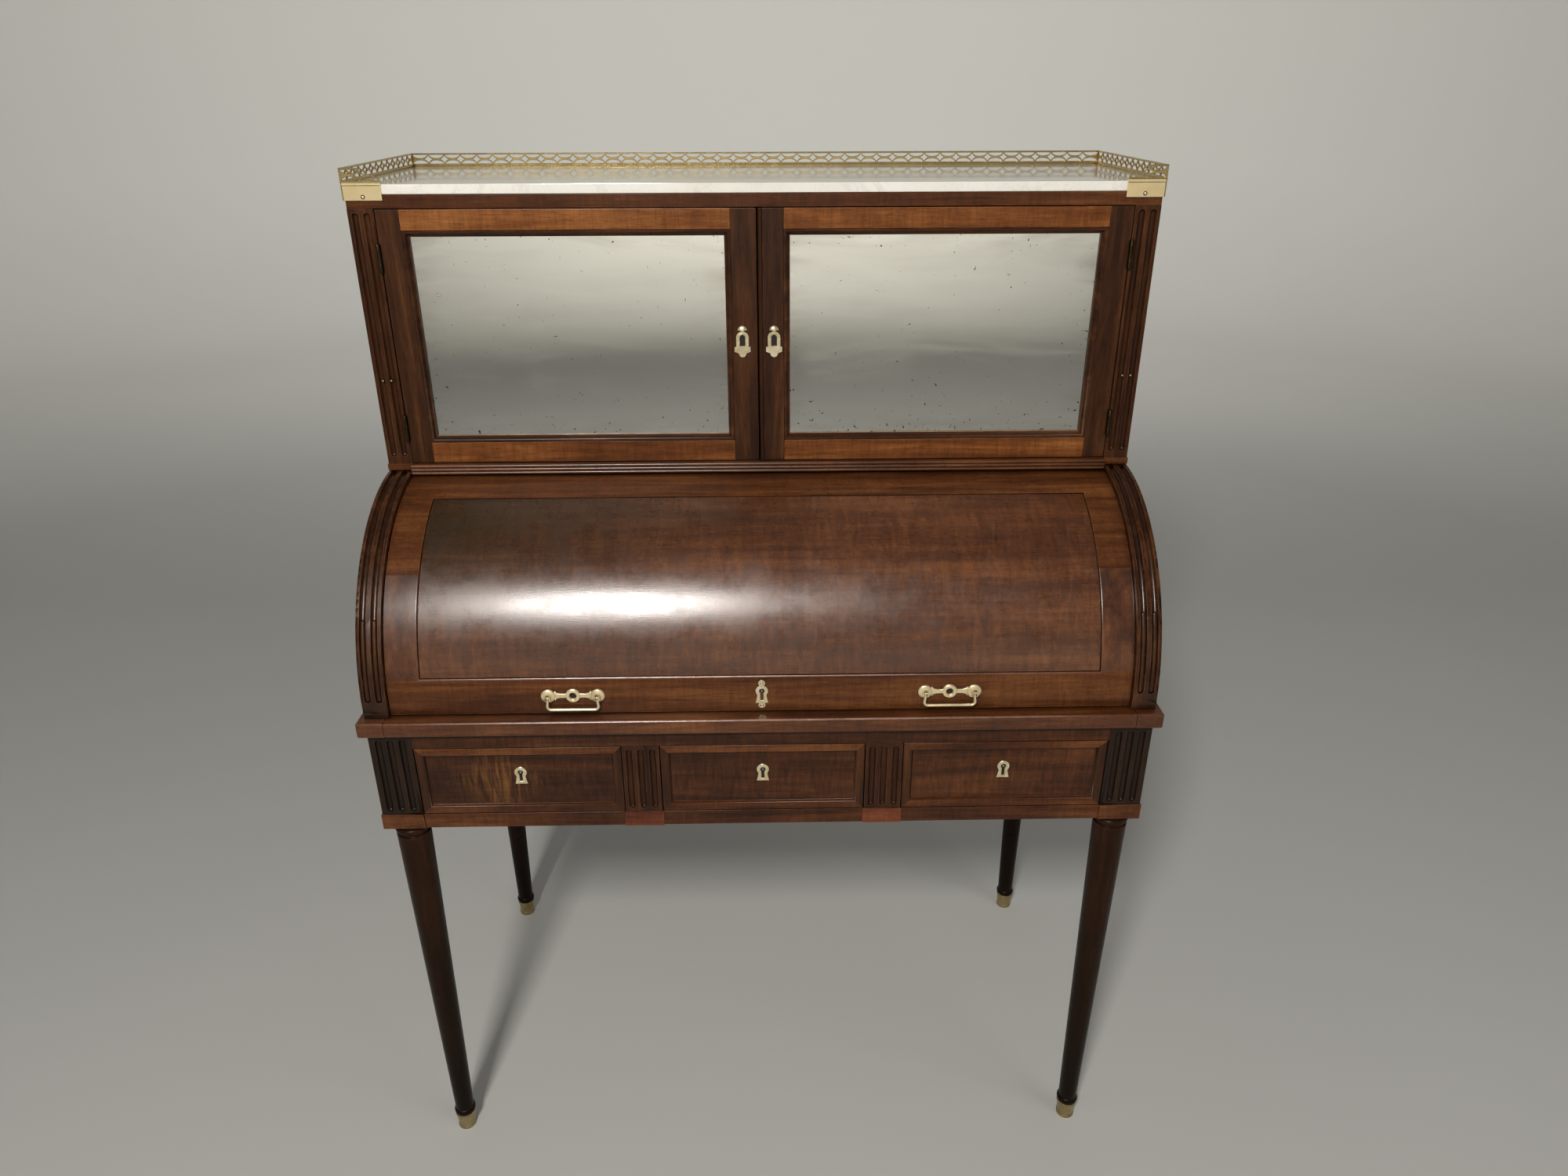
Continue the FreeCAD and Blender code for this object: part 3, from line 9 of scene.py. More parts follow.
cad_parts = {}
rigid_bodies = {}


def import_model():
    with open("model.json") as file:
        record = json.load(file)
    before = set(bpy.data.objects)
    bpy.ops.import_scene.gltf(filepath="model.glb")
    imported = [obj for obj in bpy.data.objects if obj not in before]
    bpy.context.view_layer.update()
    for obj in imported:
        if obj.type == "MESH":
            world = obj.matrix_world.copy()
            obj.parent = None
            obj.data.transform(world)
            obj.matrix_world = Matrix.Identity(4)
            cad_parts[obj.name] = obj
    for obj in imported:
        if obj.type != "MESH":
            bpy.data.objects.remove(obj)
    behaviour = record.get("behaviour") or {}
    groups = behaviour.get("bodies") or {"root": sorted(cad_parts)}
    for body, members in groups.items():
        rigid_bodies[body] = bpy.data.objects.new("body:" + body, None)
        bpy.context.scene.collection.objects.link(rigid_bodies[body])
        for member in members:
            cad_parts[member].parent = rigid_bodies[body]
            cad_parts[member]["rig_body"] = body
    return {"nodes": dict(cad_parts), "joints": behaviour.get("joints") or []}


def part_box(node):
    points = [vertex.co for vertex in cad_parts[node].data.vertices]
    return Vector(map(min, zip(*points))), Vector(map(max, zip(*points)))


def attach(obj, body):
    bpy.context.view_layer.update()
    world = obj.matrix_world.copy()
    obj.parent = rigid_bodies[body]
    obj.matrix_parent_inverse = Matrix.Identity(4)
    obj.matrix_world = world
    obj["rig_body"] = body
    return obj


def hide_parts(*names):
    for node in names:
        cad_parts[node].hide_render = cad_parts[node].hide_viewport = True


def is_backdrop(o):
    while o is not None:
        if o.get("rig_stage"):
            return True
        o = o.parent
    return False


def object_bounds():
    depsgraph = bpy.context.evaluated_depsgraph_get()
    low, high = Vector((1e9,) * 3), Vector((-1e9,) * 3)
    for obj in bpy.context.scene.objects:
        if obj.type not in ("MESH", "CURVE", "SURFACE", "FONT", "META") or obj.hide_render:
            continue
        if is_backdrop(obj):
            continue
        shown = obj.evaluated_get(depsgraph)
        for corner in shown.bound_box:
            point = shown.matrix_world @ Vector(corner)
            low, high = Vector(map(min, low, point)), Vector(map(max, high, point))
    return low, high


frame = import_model()
cad_low, cad_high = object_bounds()
scene = bpy.context.scene
MM = 0.001
AXES = {"x": 0, "y": 1, "z": 2}
SIDES = {"left": -1, "right": 1}
DRAWERS = ("left", "middle", "right")
UPRIGHT = Matrix.Rotation(math.radians(90), 4, "X")
CREASE = math.radians(35)
BLACK = (0.0, 0.0, 0.0)
WHITE = (1.0, 1.0, 1.0)


class Paint:
    """A node material being put together from noise, ramps and bumps in the object's own space."""

    def __init__(self, name):
        self.material = bpy.data.materials.new(name)
        self.material.use_nodes = True
        self.tree = self.material.node_tree
        self.shader = self.tree.nodes["Principled BSDF"]
        self.place = self.add("TexCoord").outputs["Object"]

    def add(self, kind, inputs=None, **settings):
        """New node with its settings and its sockets filled in or linked."""
        node = self.tree.nodes.new("ShaderNode" + kind)
        for key, value in settings.items():
            setattr(node, key, value)
        for key, value in (inputs or {}).items():
            self.feed(node.inputs[key], value)
        return node

    def feed(self, socket, value):
        """Link a socket to another one, or set it."""
        if isinstance(value, bpy.types.NodeSocket):
            self.tree.links.new(value, socket)
        else:
            socket.default_value = value

    def set(self, **inputs):
        """Fill the shader's own sockets; an underscore in a name stands for a space."""
        for key, value in inputs.items():
            self.feed(self.shader.inputs[key.replace("_", " ")], value)

    def noise(self, scale, detail=3.0, roughness=0.55, warp=0.0, shift=0.0):
        """Noise with one scale or a scale per axis, moved by a shift."""
        scales = scale if isinstance(scale, tuple) else (scale,) * 3
        mapping = self.add("Mapping", {"Vector": self.place, "Scale": scales,
                                       "Location": (shift, 0.7 * shift, 1.3 * shift)})
        return self.add("TexNoise", {"Vector": mapping.outputs["Vector"], "Scale": 1.0, "Detail": detail,
                                     "Roughness": roughness, "Distortion": warp}).outputs["Fac"]

    def math(self, operation, a, b=0.0, c=0.0):
        """One arithmetic step."""
        return self.add("Math", {0: a, 1: b, 2: c}, operation=operation).outputs[0]

    def times(self, first, *others):
        """Product of several values."""
        for other in others:
            first = self.math("MULTIPLY", first, other)
        return first

    def away(self, value, centre):
        """Distance of a value from a centre."""
        return self.math("ABSOLUTE", self.math("SUBTRACT", value, centre))

    def total(self, *terms):
        """Weighted mean of several values."""
        weight = sum(share for _, share in terms)
        value = 0.0
        for term, share in terms:
            value = self.math("MULTIPLY_ADD", term, share / weight, value)
        return value

    def span(self, value, low, high, to_low=0.0, to_high=1.0):
        """A value moved from one range to another and kept inside it."""
        return self.add("MapRange", {"Value": value, "From Min": low, "From Max": high, "To Min": to_low,
                                     "To Max": to_high}, clamp=True).outputs["Result"]

    def ramp(self, factor, *stops):
        """Colour along a ramp of (place, colour) stops."""
        node = self.add("ValToRGB", {"Fac": factor})
        elements = node.color_ramp.elements
        while len(elements) < len(stops):
            elements.new(0.5)
        for element, (place, colour) in zip(elements, stops):
            element.position = place
            element.color = (*colour, 1.0)
        return node.outputs["Color"]

    def mix(self, factor, a, b, blend="MIX"):
        """Two colours mixed by a factor."""
        node = self.add("Mix", data_type="RGBA", blend_type=blend)
        for index, value in ((0, factor), (6, a), (7, b)):
            self.feed(node.inputs[index], (*value, 1.0) if isinstance(value, tuple) else value)
        return node.outputs[2]

    def crevice(self, reach, low, high):
        """Near 0 in corners and grooves, 1 on open faces."""
        shade = self.add("AmbientOcclusion", {"Distance": reach}, samples=6).outputs["AO"]
        return self.span(shade, low, high)

    def edge(self, radius):
        """1 along edges, 0 on flat faces."""
        rounded = self.add("Bevel", {"Radius": radius}, samples=4).outputs["Normal"]
        flat = self.add("NewGeometry").outputs["Normal"]
        match = self.add("VectorMath", {0: rounded, 1: flat}, operation="DOT_PRODUCT").outputs["Value"]
        return self.span(match, 0.75, 0.98, 1.0, 0.0)

    def bump(self, height, strength, distance):
        """Surface relief from a height."""
        return self.add("Bump", {"Height": height, "Strength": strength,
                                 "Distance": distance}).outputs["Normal"]


def along_grain(axis, along, across):
    """Scale per axis for a texture drawn out along one axis."""
    return tuple(along if name == axis else across for name in AXES)


def patch_mask(p, x, z, wide, tall, streaky):
    """1 near a place given as x and z, fading over half-widths, in upright streaks if wanted."""
    xyz = p.add("SeparateXYZ", {0: p.place})
    beside = p.math("DIVIDE", p.away(xyz.outputs["X"], x), wide)
    above = p.math("DIVIDE", p.away(xyz.outputs["Z"], z), tall)
    near = p.span(p.math("ADD", beside, above), 0.2, 1.3, 1.0, 0.0)
    if streaky:
        near = p.times(near, p.span(p.noise((150.0, 150.0, 17.0), 3.0, 0.55, 1.1, 2.0), 0.42, 0.64))
    return near


def wood(name, axis, tones, curl=0.0, gloss=0.3, shine=0.18, coat=0.08, shift=0.0, edge_wear_and_highlight=0.6, corner_shade_floor=0.3,
         calm=1.35, weave=0.25, deep=0.0, patches=()):
    """Polished wood with its grain along one axis, from three tones dark to light, with painted shade in its
    corners and lighter edges that are part wear and part painted highlight.
    """
    p = Paint(name)
    dark, middle, light = tones
    broad = p.noise(along_grain(axis, 2.0, 24.0), 5.0, 0.6, 0.9, shift)
    ribbon = p.noise(along_grain(axis, 8.0, 140.0), 4.0, 0.6, 0.5, shift + 3.0)
    pores = p.noise(along_grain(axis, 70.0, 1400.0), 2.0, 0.5, 0.0, shift + 7.0)
    blotch = p.noise(6.0, 3.0, 0.5, 0.6, shift + 11.0)
    figure = p.noise(along_grain(axis, 85.0, 20.0), 3.0, 0.6, 1.0, shift + 13.0)
    tone = p.total((broad, 0.5), (ribbon, 0.3), (blotch, 0.25), (figure, curl))
    colour = p.ramp(tone, (0.5 - 0.09 * calm, dark), (0.5, middle), (0.5 + 0.1 * calm, light))
    for place, tint, strength, streaky in patches:
        colour = p.mix(p.times(patch_mask(p, *place, streaky), strength), colour, tint)
    dashes = p.noise((260.0, 260.0, 34.0), 3.0, 0.6, 0.5, shift + 23.0)
    specks = p.noise(170.0, 2.0, 0.5, 0.0, shift + 29.0)
    shade = p.times(p.span(pores, 0.32, 0.47, 0.6, 1.0), p.span(dashes, 0.3, 0.6, 1.0 - weave, 1.0),
                    p.span(specks, 0.74, 0.78, 1.0, 0.4))
    colour = p.mix(1.0, colour, p.ramp(shade, (0.0, BLACK), (1.0, WHITE)), "MULTIPLY")
    # Lighter edges: partly real wear, partly a painted highlight along arrises and lands
    patch = p.span(p.noise(38.0, 3.0, 0.6, 0.0, shift + 17.0), 0.4, 0.6)
    pale = tuple(min(1.0, 1.7 * c + 0.03) for c in light)
    colour = p.mix(p.times(p.edge(1.6 * MM), patch, edge_wear_and_highlight), colour, pale)
    # Painted shade: colour darkened in corners, flutes and grooves by ambient occlusion, down to the floor
    # the argument gives
    corner = p.crevice(16.0 * MM, 0.25 + deep, 0.8 + deep)
    colour = p.mix(p.span(corner, 0.0, 1.0, corner_shade_floor, 1.0), tuple(0.12 * c for c in dark), colour)
    scuff = p.noise(30.0, 4.0, 0.65, 0.3, shift + 19.0)
    rough = p.span(scuff, 0.3, 0.7, gloss - 0.04, gloss + 0.06)
    relief = p.total((pores, 0.6), (ribbon, 0.4))
    p.set(Base_Color=colour, Roughness=rough, Normal=p.bump(relief, 0.12, 0.5 * MM))
    p.set(Coat_Weight=coat, Coat_Roughness=0.26, Specular_IOR_Level=shine)
    return p.material


def brass(name, shift=0.0, dull=0.0, tint=WHITE, mottle=1.0, metal=1.0):
    """Old gilt brass, browned in its corners and rubbed bright on its edges."""
    p = Paint(name)
    low, middle, high, rubbed, brown, stain = [tuple(a * b for a, b in zip(tint, tone)) for tone in (
        (0.70, 0.57, 0.34), (0.83, 0.71, 0.47), (0.91, 0.81, 0.59), (0.96, 0.87, 0.64),
        (0.10, 0.065, 0.028), (0.24, 0.16, 0.07))]
    patina = p.noise(48.0, 4.0, 0.6, 0.6, shift)
    fine = p.noise(320.0, 3.0, 0.6, 0.0, shift + 5.0)
    colour = p.ramp(patina, (0.5 - 0.16 / mottle, low), (0.5, middle), (0.5 + 0.18 / mottle, high))
    corner = p.crevice(3.5 * MM, 0.25, 0.85)
    colour = p.mix(p.span(corner, 0.0, 1.0, 0.25, 1.0), brown, colour)
    colour = p.mix(p.times(p.edge(0.5 * MM), 0.5), colour, rubbed)
    spots = p.span(p.noise(150.0, 3.0, 0.7, 0.0, shift + 9.0), 0.66, 0.74)
    colour = p.mix(p.times(spots, 0.5 * mottle), colour, stain)
    smooth = 0.22 + dull
    rough = p.span(p.total((patina, 0.5), (fine, 0.5)), 0.38, 0.62, smooth, smooth + 0.14 * mottle)
    p.set(Base_Color=colour, Roughness=rough, Normal=p.bump(fine, 0.04 * mottle, 0.2 * MM), Metallic=metal)
    return p.material


def steel(name):
    """Grey lock steel with a little rust."""
    p = Paint(name)
    brushed = p.noise((40.0, 900.0, 40.0), 3.0, 0.6)
    rust = p.span(p.noise(90.0, 4.0, 0.65, 0.4, 4.0), 0.55, 0.7)
    colour = p.ramp(brushed, (0.3, (0.26, 0.26, 0.25)), (0.7, (0.50, 0.50, 0.48)))
    colour = p.mix(p.times(rust, 0.7), colour, (0.16, 0.075, 0.035))
    rough = p.span(brushed, 0.3, 0.7, 0.28, 0.5)
    p.set(Base_Color=colour, Roughness=rough, Normal=p.bump(brushed, 0.1, 0.2 * MM), Metallic=0.9)
    return p.material


def mirror(name, low, high, shift):
    """Old silvered glass, spotted with foxing and clouded towards its lower edge and corners."""
    p = Paint(name)
    xyz = p.add("SeparateXYZ", {0: p.place})
    insets = [p.math("SUBTRACT", (high[i] - low[i]) / 2, p.away(xyz.outputs[i], (low[i] + high[i]) / 2))
              for i in (AXES["x"], AXES["z"])]
    near_rim = p.span(p.math("MINIMUM", *insets), 6.0 * MM, 40.0 * MM, 1.0, 0.0)
    specks = p.noise(190.0, 3.0, 0.6, 0.4, shift)
    lower = p.span(xyz.outputs["Z"], low.z, low.z + 0.6 * (high.z - low.z), 0.035, 0.0)
    bite = p.math("ADD", p.times(near_rim, 0.05), lower)
    spot = p.span(p.math("ADD", specks, bite), 0.725, 0.745)
    for scale, offset in (((70.0, 70.0, 520.0), 5.0), ((520.0, 520.0, 90.0), 6.0)):
        scratch = p.span(p.noise(scale, 2.0, 0.5, 0.2, shift + offset), 0.755, 0.775)
        spot = p.math("MAXIMUM", spot, scratch)
    cloud = p.span(p.noise((5.0, 5.0, 26.0), 4.0, 0.6, 0.8, shift + 3.0), 0.40, 0.75)
    colour = p.mix(p.times(cloud, 0.3), (0.86, 0.85, 0.81), (0.66, 0.63, 0.57))
    colour = p.mix(p.times(near_rim, cloud, 0.5), colour, (0.42, 0.38, 0.32))
    colour = p.mix(spot, colour, (0.035, 0.028, 0.022))
    rough = p.span(p.total((spot, 0.7), (cloud, 0.3)), 0.0, 1.0, 0.03, 0.5)
    ripple = p.noise(9.0, 2.0, 0.5, 0.0, shift + 8.0)
    p.set(Base_Color=colour, Roughness=rough, Normal=p.bump(ripple, 0.03, 2.0 * MM), Metallic=1.0)
    return p.material


def marble(name):
    """Cream white marble with soft grey veins and a polished face, with painted shade on the faces that look
    upwards.
    """
    p = Paint(name)
    drift = p.noise((7.0, 9.0, 9.0), 5.0, 0.6, 1.6, 2.0)
    vein = p.span(p.away(drift, 0.5), 0.0, 0.03, 1.0, 0.0)
    thin = p.noise((22.0, 16.0, 22.0), 5.0, 0.6, 2.2, 6.0)
    thread = p.span(p.away(thin, 0.5), 0.0, 0.016, 1.0, 0.0)
    cloud = p.noise((4.0, 6.0, 6.0), 4.0, 0.55, 0.5, 9.0)
    colour = p.ramp(cloud, (0.3, (0.59, 0.575, 0.52)), (0.5, (0.67, 0.655, 0.60)),
                    (0.7, (0.72, 0.705, 0.655)))
    colour = p.mix(p.times(vein, 0.35), colour, (0.50, 0.49, 0.46))
    colour = p.mix(p.times(thread, 0.25), colour, (0.44, 0.43, 0.40))
    # Painted shade: faces that look upwards are mixed towards a darker grey
    upward = p.add("SeparateXYZ", {0: p.add("NewGeometry").outputs["Normal"]}).outputs["Z"]
    colour = p.mix(p.span(upward, 0.6, 0.95, 0.0, 0.75), colour, (0.42, 0.42, 0.35))
    rough = p.span(cloud, 0.3, 0.7, 0.06, 0.14)
    p.set(Base_Color=colour, Roughness=rough, Normal=p.bump(drift, 0.04, 0.5 * MM), Coat_Weight=0.3)
    p.set(Coat_Roughness=0.06, Subsurface_Weight=0.06, Subsurface_Scale=0.004)
    return p.material


def leather(name):
    """Dark brown writing leather with a fine pebble and rubbed patches."""
    p = Paint(name)
    cells = p.add("TexVoronoi", {"Vector": p.place, "Scale": 520.0}, feature="DISTANCE_TO_EDGE")
    pebble = p.span(cells.outputs["Distance"], 0.0, 0.25)
    rubbed = p.noise(16.0, 4.0, 0.6, 0.6, 1.0)
    colour = p.ramp(rubbed, (0.35, (0.055, 0.022, 0.013)), (0.55, (0.095, 0.038, 0.021)),
                    (0.75, (0.15, 0.066, 0.038)))
    colour = p.mix(p.span(pebble, 0.0, 1.0, 0.35, 0.0), colour, (0.03, 0.012, 0.008))
    rough = p.span(rubbed, 0.35, 0.7, 0.62, 0.42)
    p.set(Base_Color=colour, Roughness=rough, Normal=p.bump(pebble, 0.25, 0.3 * MM))
    return p.material


def keyhole_dark(name):
    """Painted shade for the unlit inside of a keyhole or hollow: near-black, a little mottled."""
    p = Paint(name)
    shade_noise = p.noise(400.0, 3.0)
    colour = p.ramp(shade_noise, (0.3, (0.004, 0.003, 0.002)), (0.7, (0.014, 0.010, 0.007)))
    p.set(Base_Color=colour, Roughness=p.span(shade_noise, 0.3, 0.7, 0.7, 0.95))
    return p.material


# Wood tones as dark, middle and light, and two tints for patches
BROWN = ((0.028, 0.008, 0.0025), (0.078, 0.024, 0.007), (0.170, 0.060, 0.018))
DUSK = ((0.016, 0.005, 0.002), (0.048, 0.015, 0.005), (0.110, 0.037, 0.011))
ORANGE = ((0.060, 0.016, 0.003), (0.150, 0.047, 0.010), (0.290, 0.110, 0.030))
DEEP = ((0.013, 0.004, 0.0015), (0.038, 0.012, 0.0035), (0.090, 0.032, 0.009))
NIGHT = ((0.005, 0.003, 0.0015), (0.014, 0.0065, 0.003), (0.032, 0.014, 0.006))
EARTH = ((0.012, 0.005, 0.002), (0.028, 0.011, 0.0045), (0.050, 0.020, 0.008))
CHESTNUT = ((0.030, 0.009, 0.003), (0.084, 0.027, 0.008), (0.165, 0.060, 0.017))
RED = ((0.050, 0.012, 0.006), (0.120, 0.031, 0.013), (0.190, 0.058, 0.022))
HONEY = ((0.130, 0.070, 0.030), (0.240, 0.145, 0.070), (0.340, 0.220, 0.115))
# Pale tones for a painted highlight along front arrises
ROSE_HIGHLIGHT = ((0.110, 0.050, 0.034), (0.330, 0.200, 0.155), (0.540, 0.380, 0.320))
GOLD = (0.200, 0.085, 0.022)
OLIVE = (0.020, 0.012, 0.004)

# Patches are given as (x, z, half-width, half-height), tint, strength and whether they are streaky
dim_corner = ((-0.43, 0.985, 0.42, 0.11), OLIVE, 0.8, False)
flame = ((-0.345, 0.668, 0.060, 0.060), GOLD, 0.75, True)
# Painted shade: the legs darker towards their feet
painted_foot_shade = ((0.0, 0.0, 9.0, 0.48), NIGHT[0], 0.9, False)
# The painted highlight on front arrises fades towards both ends of the desk
arris_highlight_fade = [((x, 0.77, 0.34, 9.0), BROWN[1], 0.95, False) for x in (cad_low.x, cad_high.x)]

rail_wood = wood("mahogany_rail", "x", BROWN, 0.10)
door_rail_wood = wood("mahogany_door_rail", "x", ORANGE, 0.15, shift=21.0)
stile_wood = wood("mahogany_stile", "z", DEEP, 0.05, shift=31.0)
# Reeds: strong painted shade in the flutes and a painted highlight on the lands
reed_wood = wood("mahogany_reed", "z", DEEP, 0.05, shift=36.0, shine=0.3, edge_wear_and_highlight=1.0, corner_shade_floor=0.1, deep=0.16)
side_wood = wood("mahogany_side", "y", BROWN, 0.10, shift=41.0)
upright_wood = wood("mahogany_upright", "z", BROWN, 0.10, shift=47.0, shine=0.5, coat=0.2)
panel_wood = wood("mahogany_panel", "x", BROWN, 0.4, gloss=0.27, shine=0.74, coat=0.0, shift=51.0,
                  calm=1.8, patches=[dim_corner])
drawer_wood = wood("mahogany_drawer", "x", DUSK, 0.2, shift=61.0, calm=1.5, weave=0.4)
flame_wood = wood("mahogany_flame", "x", DUSK, 0.2, shift=66.0, calm=1.5, weave=0.4, patches=[flame])
post_wood = wood("mahogany_post", "z", NIGHT, 0.05, shift=71.0, edge_wear_and_highlight=0.35)
leg_wood = wood("mahogany_leg", "z", EARTH, shine=0.08, coat=0.0, shift=76.0, edge_wear_and_highlight=0.8, calm=2.0,
                patches=[painted_foot_shade])
cylinder_wood = wood("mahogany_cylinder", "x", CHESTNUT, 0.10, shift=79.0)
tile_wood = wood("mahogany_tile", "x", RED, 0.10, shift=81.0)
bed_wood = wood("mahogany_bed", "x", BROWN, 0.05, shine=0.3, coat=0.2, shift=91.0, edge_wear_and_highlight=1.0)
# Painted highlight: pale rose wood along the front arrises of the bed and slide, and the cylinder's lower
# arris
arris_highlight_wood = wood("mahogany_arris_highlight", "x", ROSE_HIGHLIGHT, gloss=0.24, shine=0.5, shift=96.0, edge_wear_and_highlight=0.0, corner_shade_floor=1.0,
                  patches=arris_highlight_fade)
# Dark wood for beads and mouldings, also the painted shade in the cylinder's quirk
bead_wood = wood("mahogany_bead", "x", DEEP, shift=101.0, edge_wear_and_highlight=0.4)
# Painted highlight: light honey wood on the lower ledge of the doors' sight moulding
ledge_highlight_wood = wood("mahogany_ledge_highlight", "x", HONEY, gloss=0.2, shine=0.5, shift=103.0, corner_shade_floor=1.0)
sill_wood = wood("mahogany_sill", "x", CHESTNUT, shine=0.45, coat=0.2, shift=106.0, edge_wear_and_highlight=1.0)
oak_x = wood("oak_lengthwise", "x", HONEY, gloss=0.5, coat=0.0, shift=111.0, edge_wear_and_highlight=0.2, weave=0.0)
oak_y = wood("oak_depthwise", "y", HONEY, gloss=0.5, coat=0.0, shift=121.0, edge_wear_and_highlight=0.2, weave=0.0)
gilt = brass("brass_gilt", metal=0.85)
handle_brass = brass("brass_handle", 44.0, 0.1, (1.02, 1.0, 0.94), 0.6, metal=0.72)
gallery_brass = brass("brass_gallery", 14.0, 0.02, (0.72, 0.63, 0.43), 0.4)
plate_brass = brass("brass_corner", 18.0, 0.0, (1.04, 0.98, 0.84), 0.25, metal=0.72)
shoe_brass = brass("brass_shoe", 24.0, 0.02, (0.50, 0.46, 0.36))
hinge_brass = brass("brass_hinge", 34.0, 0.12, (0.06, 0.05, 0.04))
lock_steel = steel("lock_steel")
stone = marble("marble_cream")
hide = leather("leather_brown")
hole_shade = keyhole_dark("keyhole_dark")


# Points, outlines and faces
def mm(*points):
    """Points given in millimetres."""
    return [tuple(value * MM for value in point) for point in points]


def spread(first, last, count):
    """Even steps between two values, both ends included."""
    return [first + (last - first) * k / count for k in range(count + 1)]


def turns(count):
    """Angles once round in even steps."""
    return [math.tau * k / count for k in range(count)]


def arc(u, v, wide, start, stop, steps, tall=None):
    """Points along a round or oval arc, angles in degrees."""
    tall = wide if tall is None else tall
    angles = [math.radians(angle) for angle in spread(start, stop, steps)]
    return [(u + wide * math.cos(a), v + tall * math.sin(a)) for a in angles]


def ring(radius):
    """Points once round a circle."""
    return arc(0, 0, radius, 0, 345, 23)


def bowed(first, middle, last, steps=6):
    """Points of a smooth bow through three points, without the last."""
    pull = [2 * m - (a + b) / 2 for a, m, b in zip(first, middle, last)]
    return [tuple((1 - t) ** 2 * a + 2 * t * (1 - t) * c + t * t * b for a, c, b in zip(first, pull, last))
            for t in [k / steps for k in range(steps)]]


def one_way(outline, outer):
    """The outline wound leftwards if it is the rim and rightwards if it is a hole."""
    turn = sum(a[0] * b[1] - b[0] * a[1] for a, b in zip(outline, outline[1:] + outline[:1]))
    return list(outline) if (turn > 0) == outer else list(outline)[::-1]


def shrunk(outline, inset):
    """The outline moved into the metal by an inset."""
    if not inset:
        return list(outline)
    moved = []
    for k, point in enumerate(outline):
        here = Vector(point)
        before = (here - Vector(outline[k - 1])).normalized()
        after = (Vector(outline[(k + 1) % len(outline)]) - here).normalized()
        left = Vector((-before.y - after.y, before.x + after.x))
        spare = max(0.5, 1.0 + before.dot(after))
        moved.append(tuple(here + left * (inset / spare)))
    return moved


def standing(x, y, z, turn=0):
    """Matrix that stands a flat plate up at a place, facing front unless turned by degrees."""
    return Matrix.Translation((x, y, z)) @ Matrix.Rotation(math.radians(turn), 4, "Z") @ UPRIGHT


def centre_of(face):
    """Middle of a face."""
    return face.calc_center_median()


def furthest(face, axis):
    """Largest coordinate of a face along an axis."""
    return max(vertex.co[AXES[axis]] for vertex in face.verts)


def joined(part, near, far, closed=True):
    """Quads between two rows of vertices, in order."""
    count = len(near)
    return [part.faces.new((near[k], near[(k + 1) % count], far[(k + 1) % count], far[k]))
            for k in range(count if closed else count - 1)]


def round_off(part, edges, ease):
    """Round some edges of a part."""
    bmesh.ops.bevel(part, geom=edges, offset=ease, offset_type="OFFSET", segments=2, profile=0.5,
                    affect="EDGES", clamp_overlap=True)


def cut_pocket(part, side, low, high, depth):
    """Square pocket in a board's end that faces a side in X, between two corners in Y and Z."""
    end = max(part.faces, key=lambda face: side * face.normal.x * face.calc_area())
    rim = list(end.verts)
    middle = (low + high) / 2
    lip = [part.verts.new((vert.co.x, high.y if vert.co.y > middle.y else low.y,
                           high.z if vert.co.z > middle.z else low.z)) for vert in rim]
    deep = [part.verts.new(vert.co - Vector((side * depth, 0.0, 0.0))) for vert in lip]
    bmesh.ops.delete(part, geom=[end], context="FACES_ONLY")
    joined(part, rim, lip)
    joined(part, lip, deep)
    part.faces.new(deep)


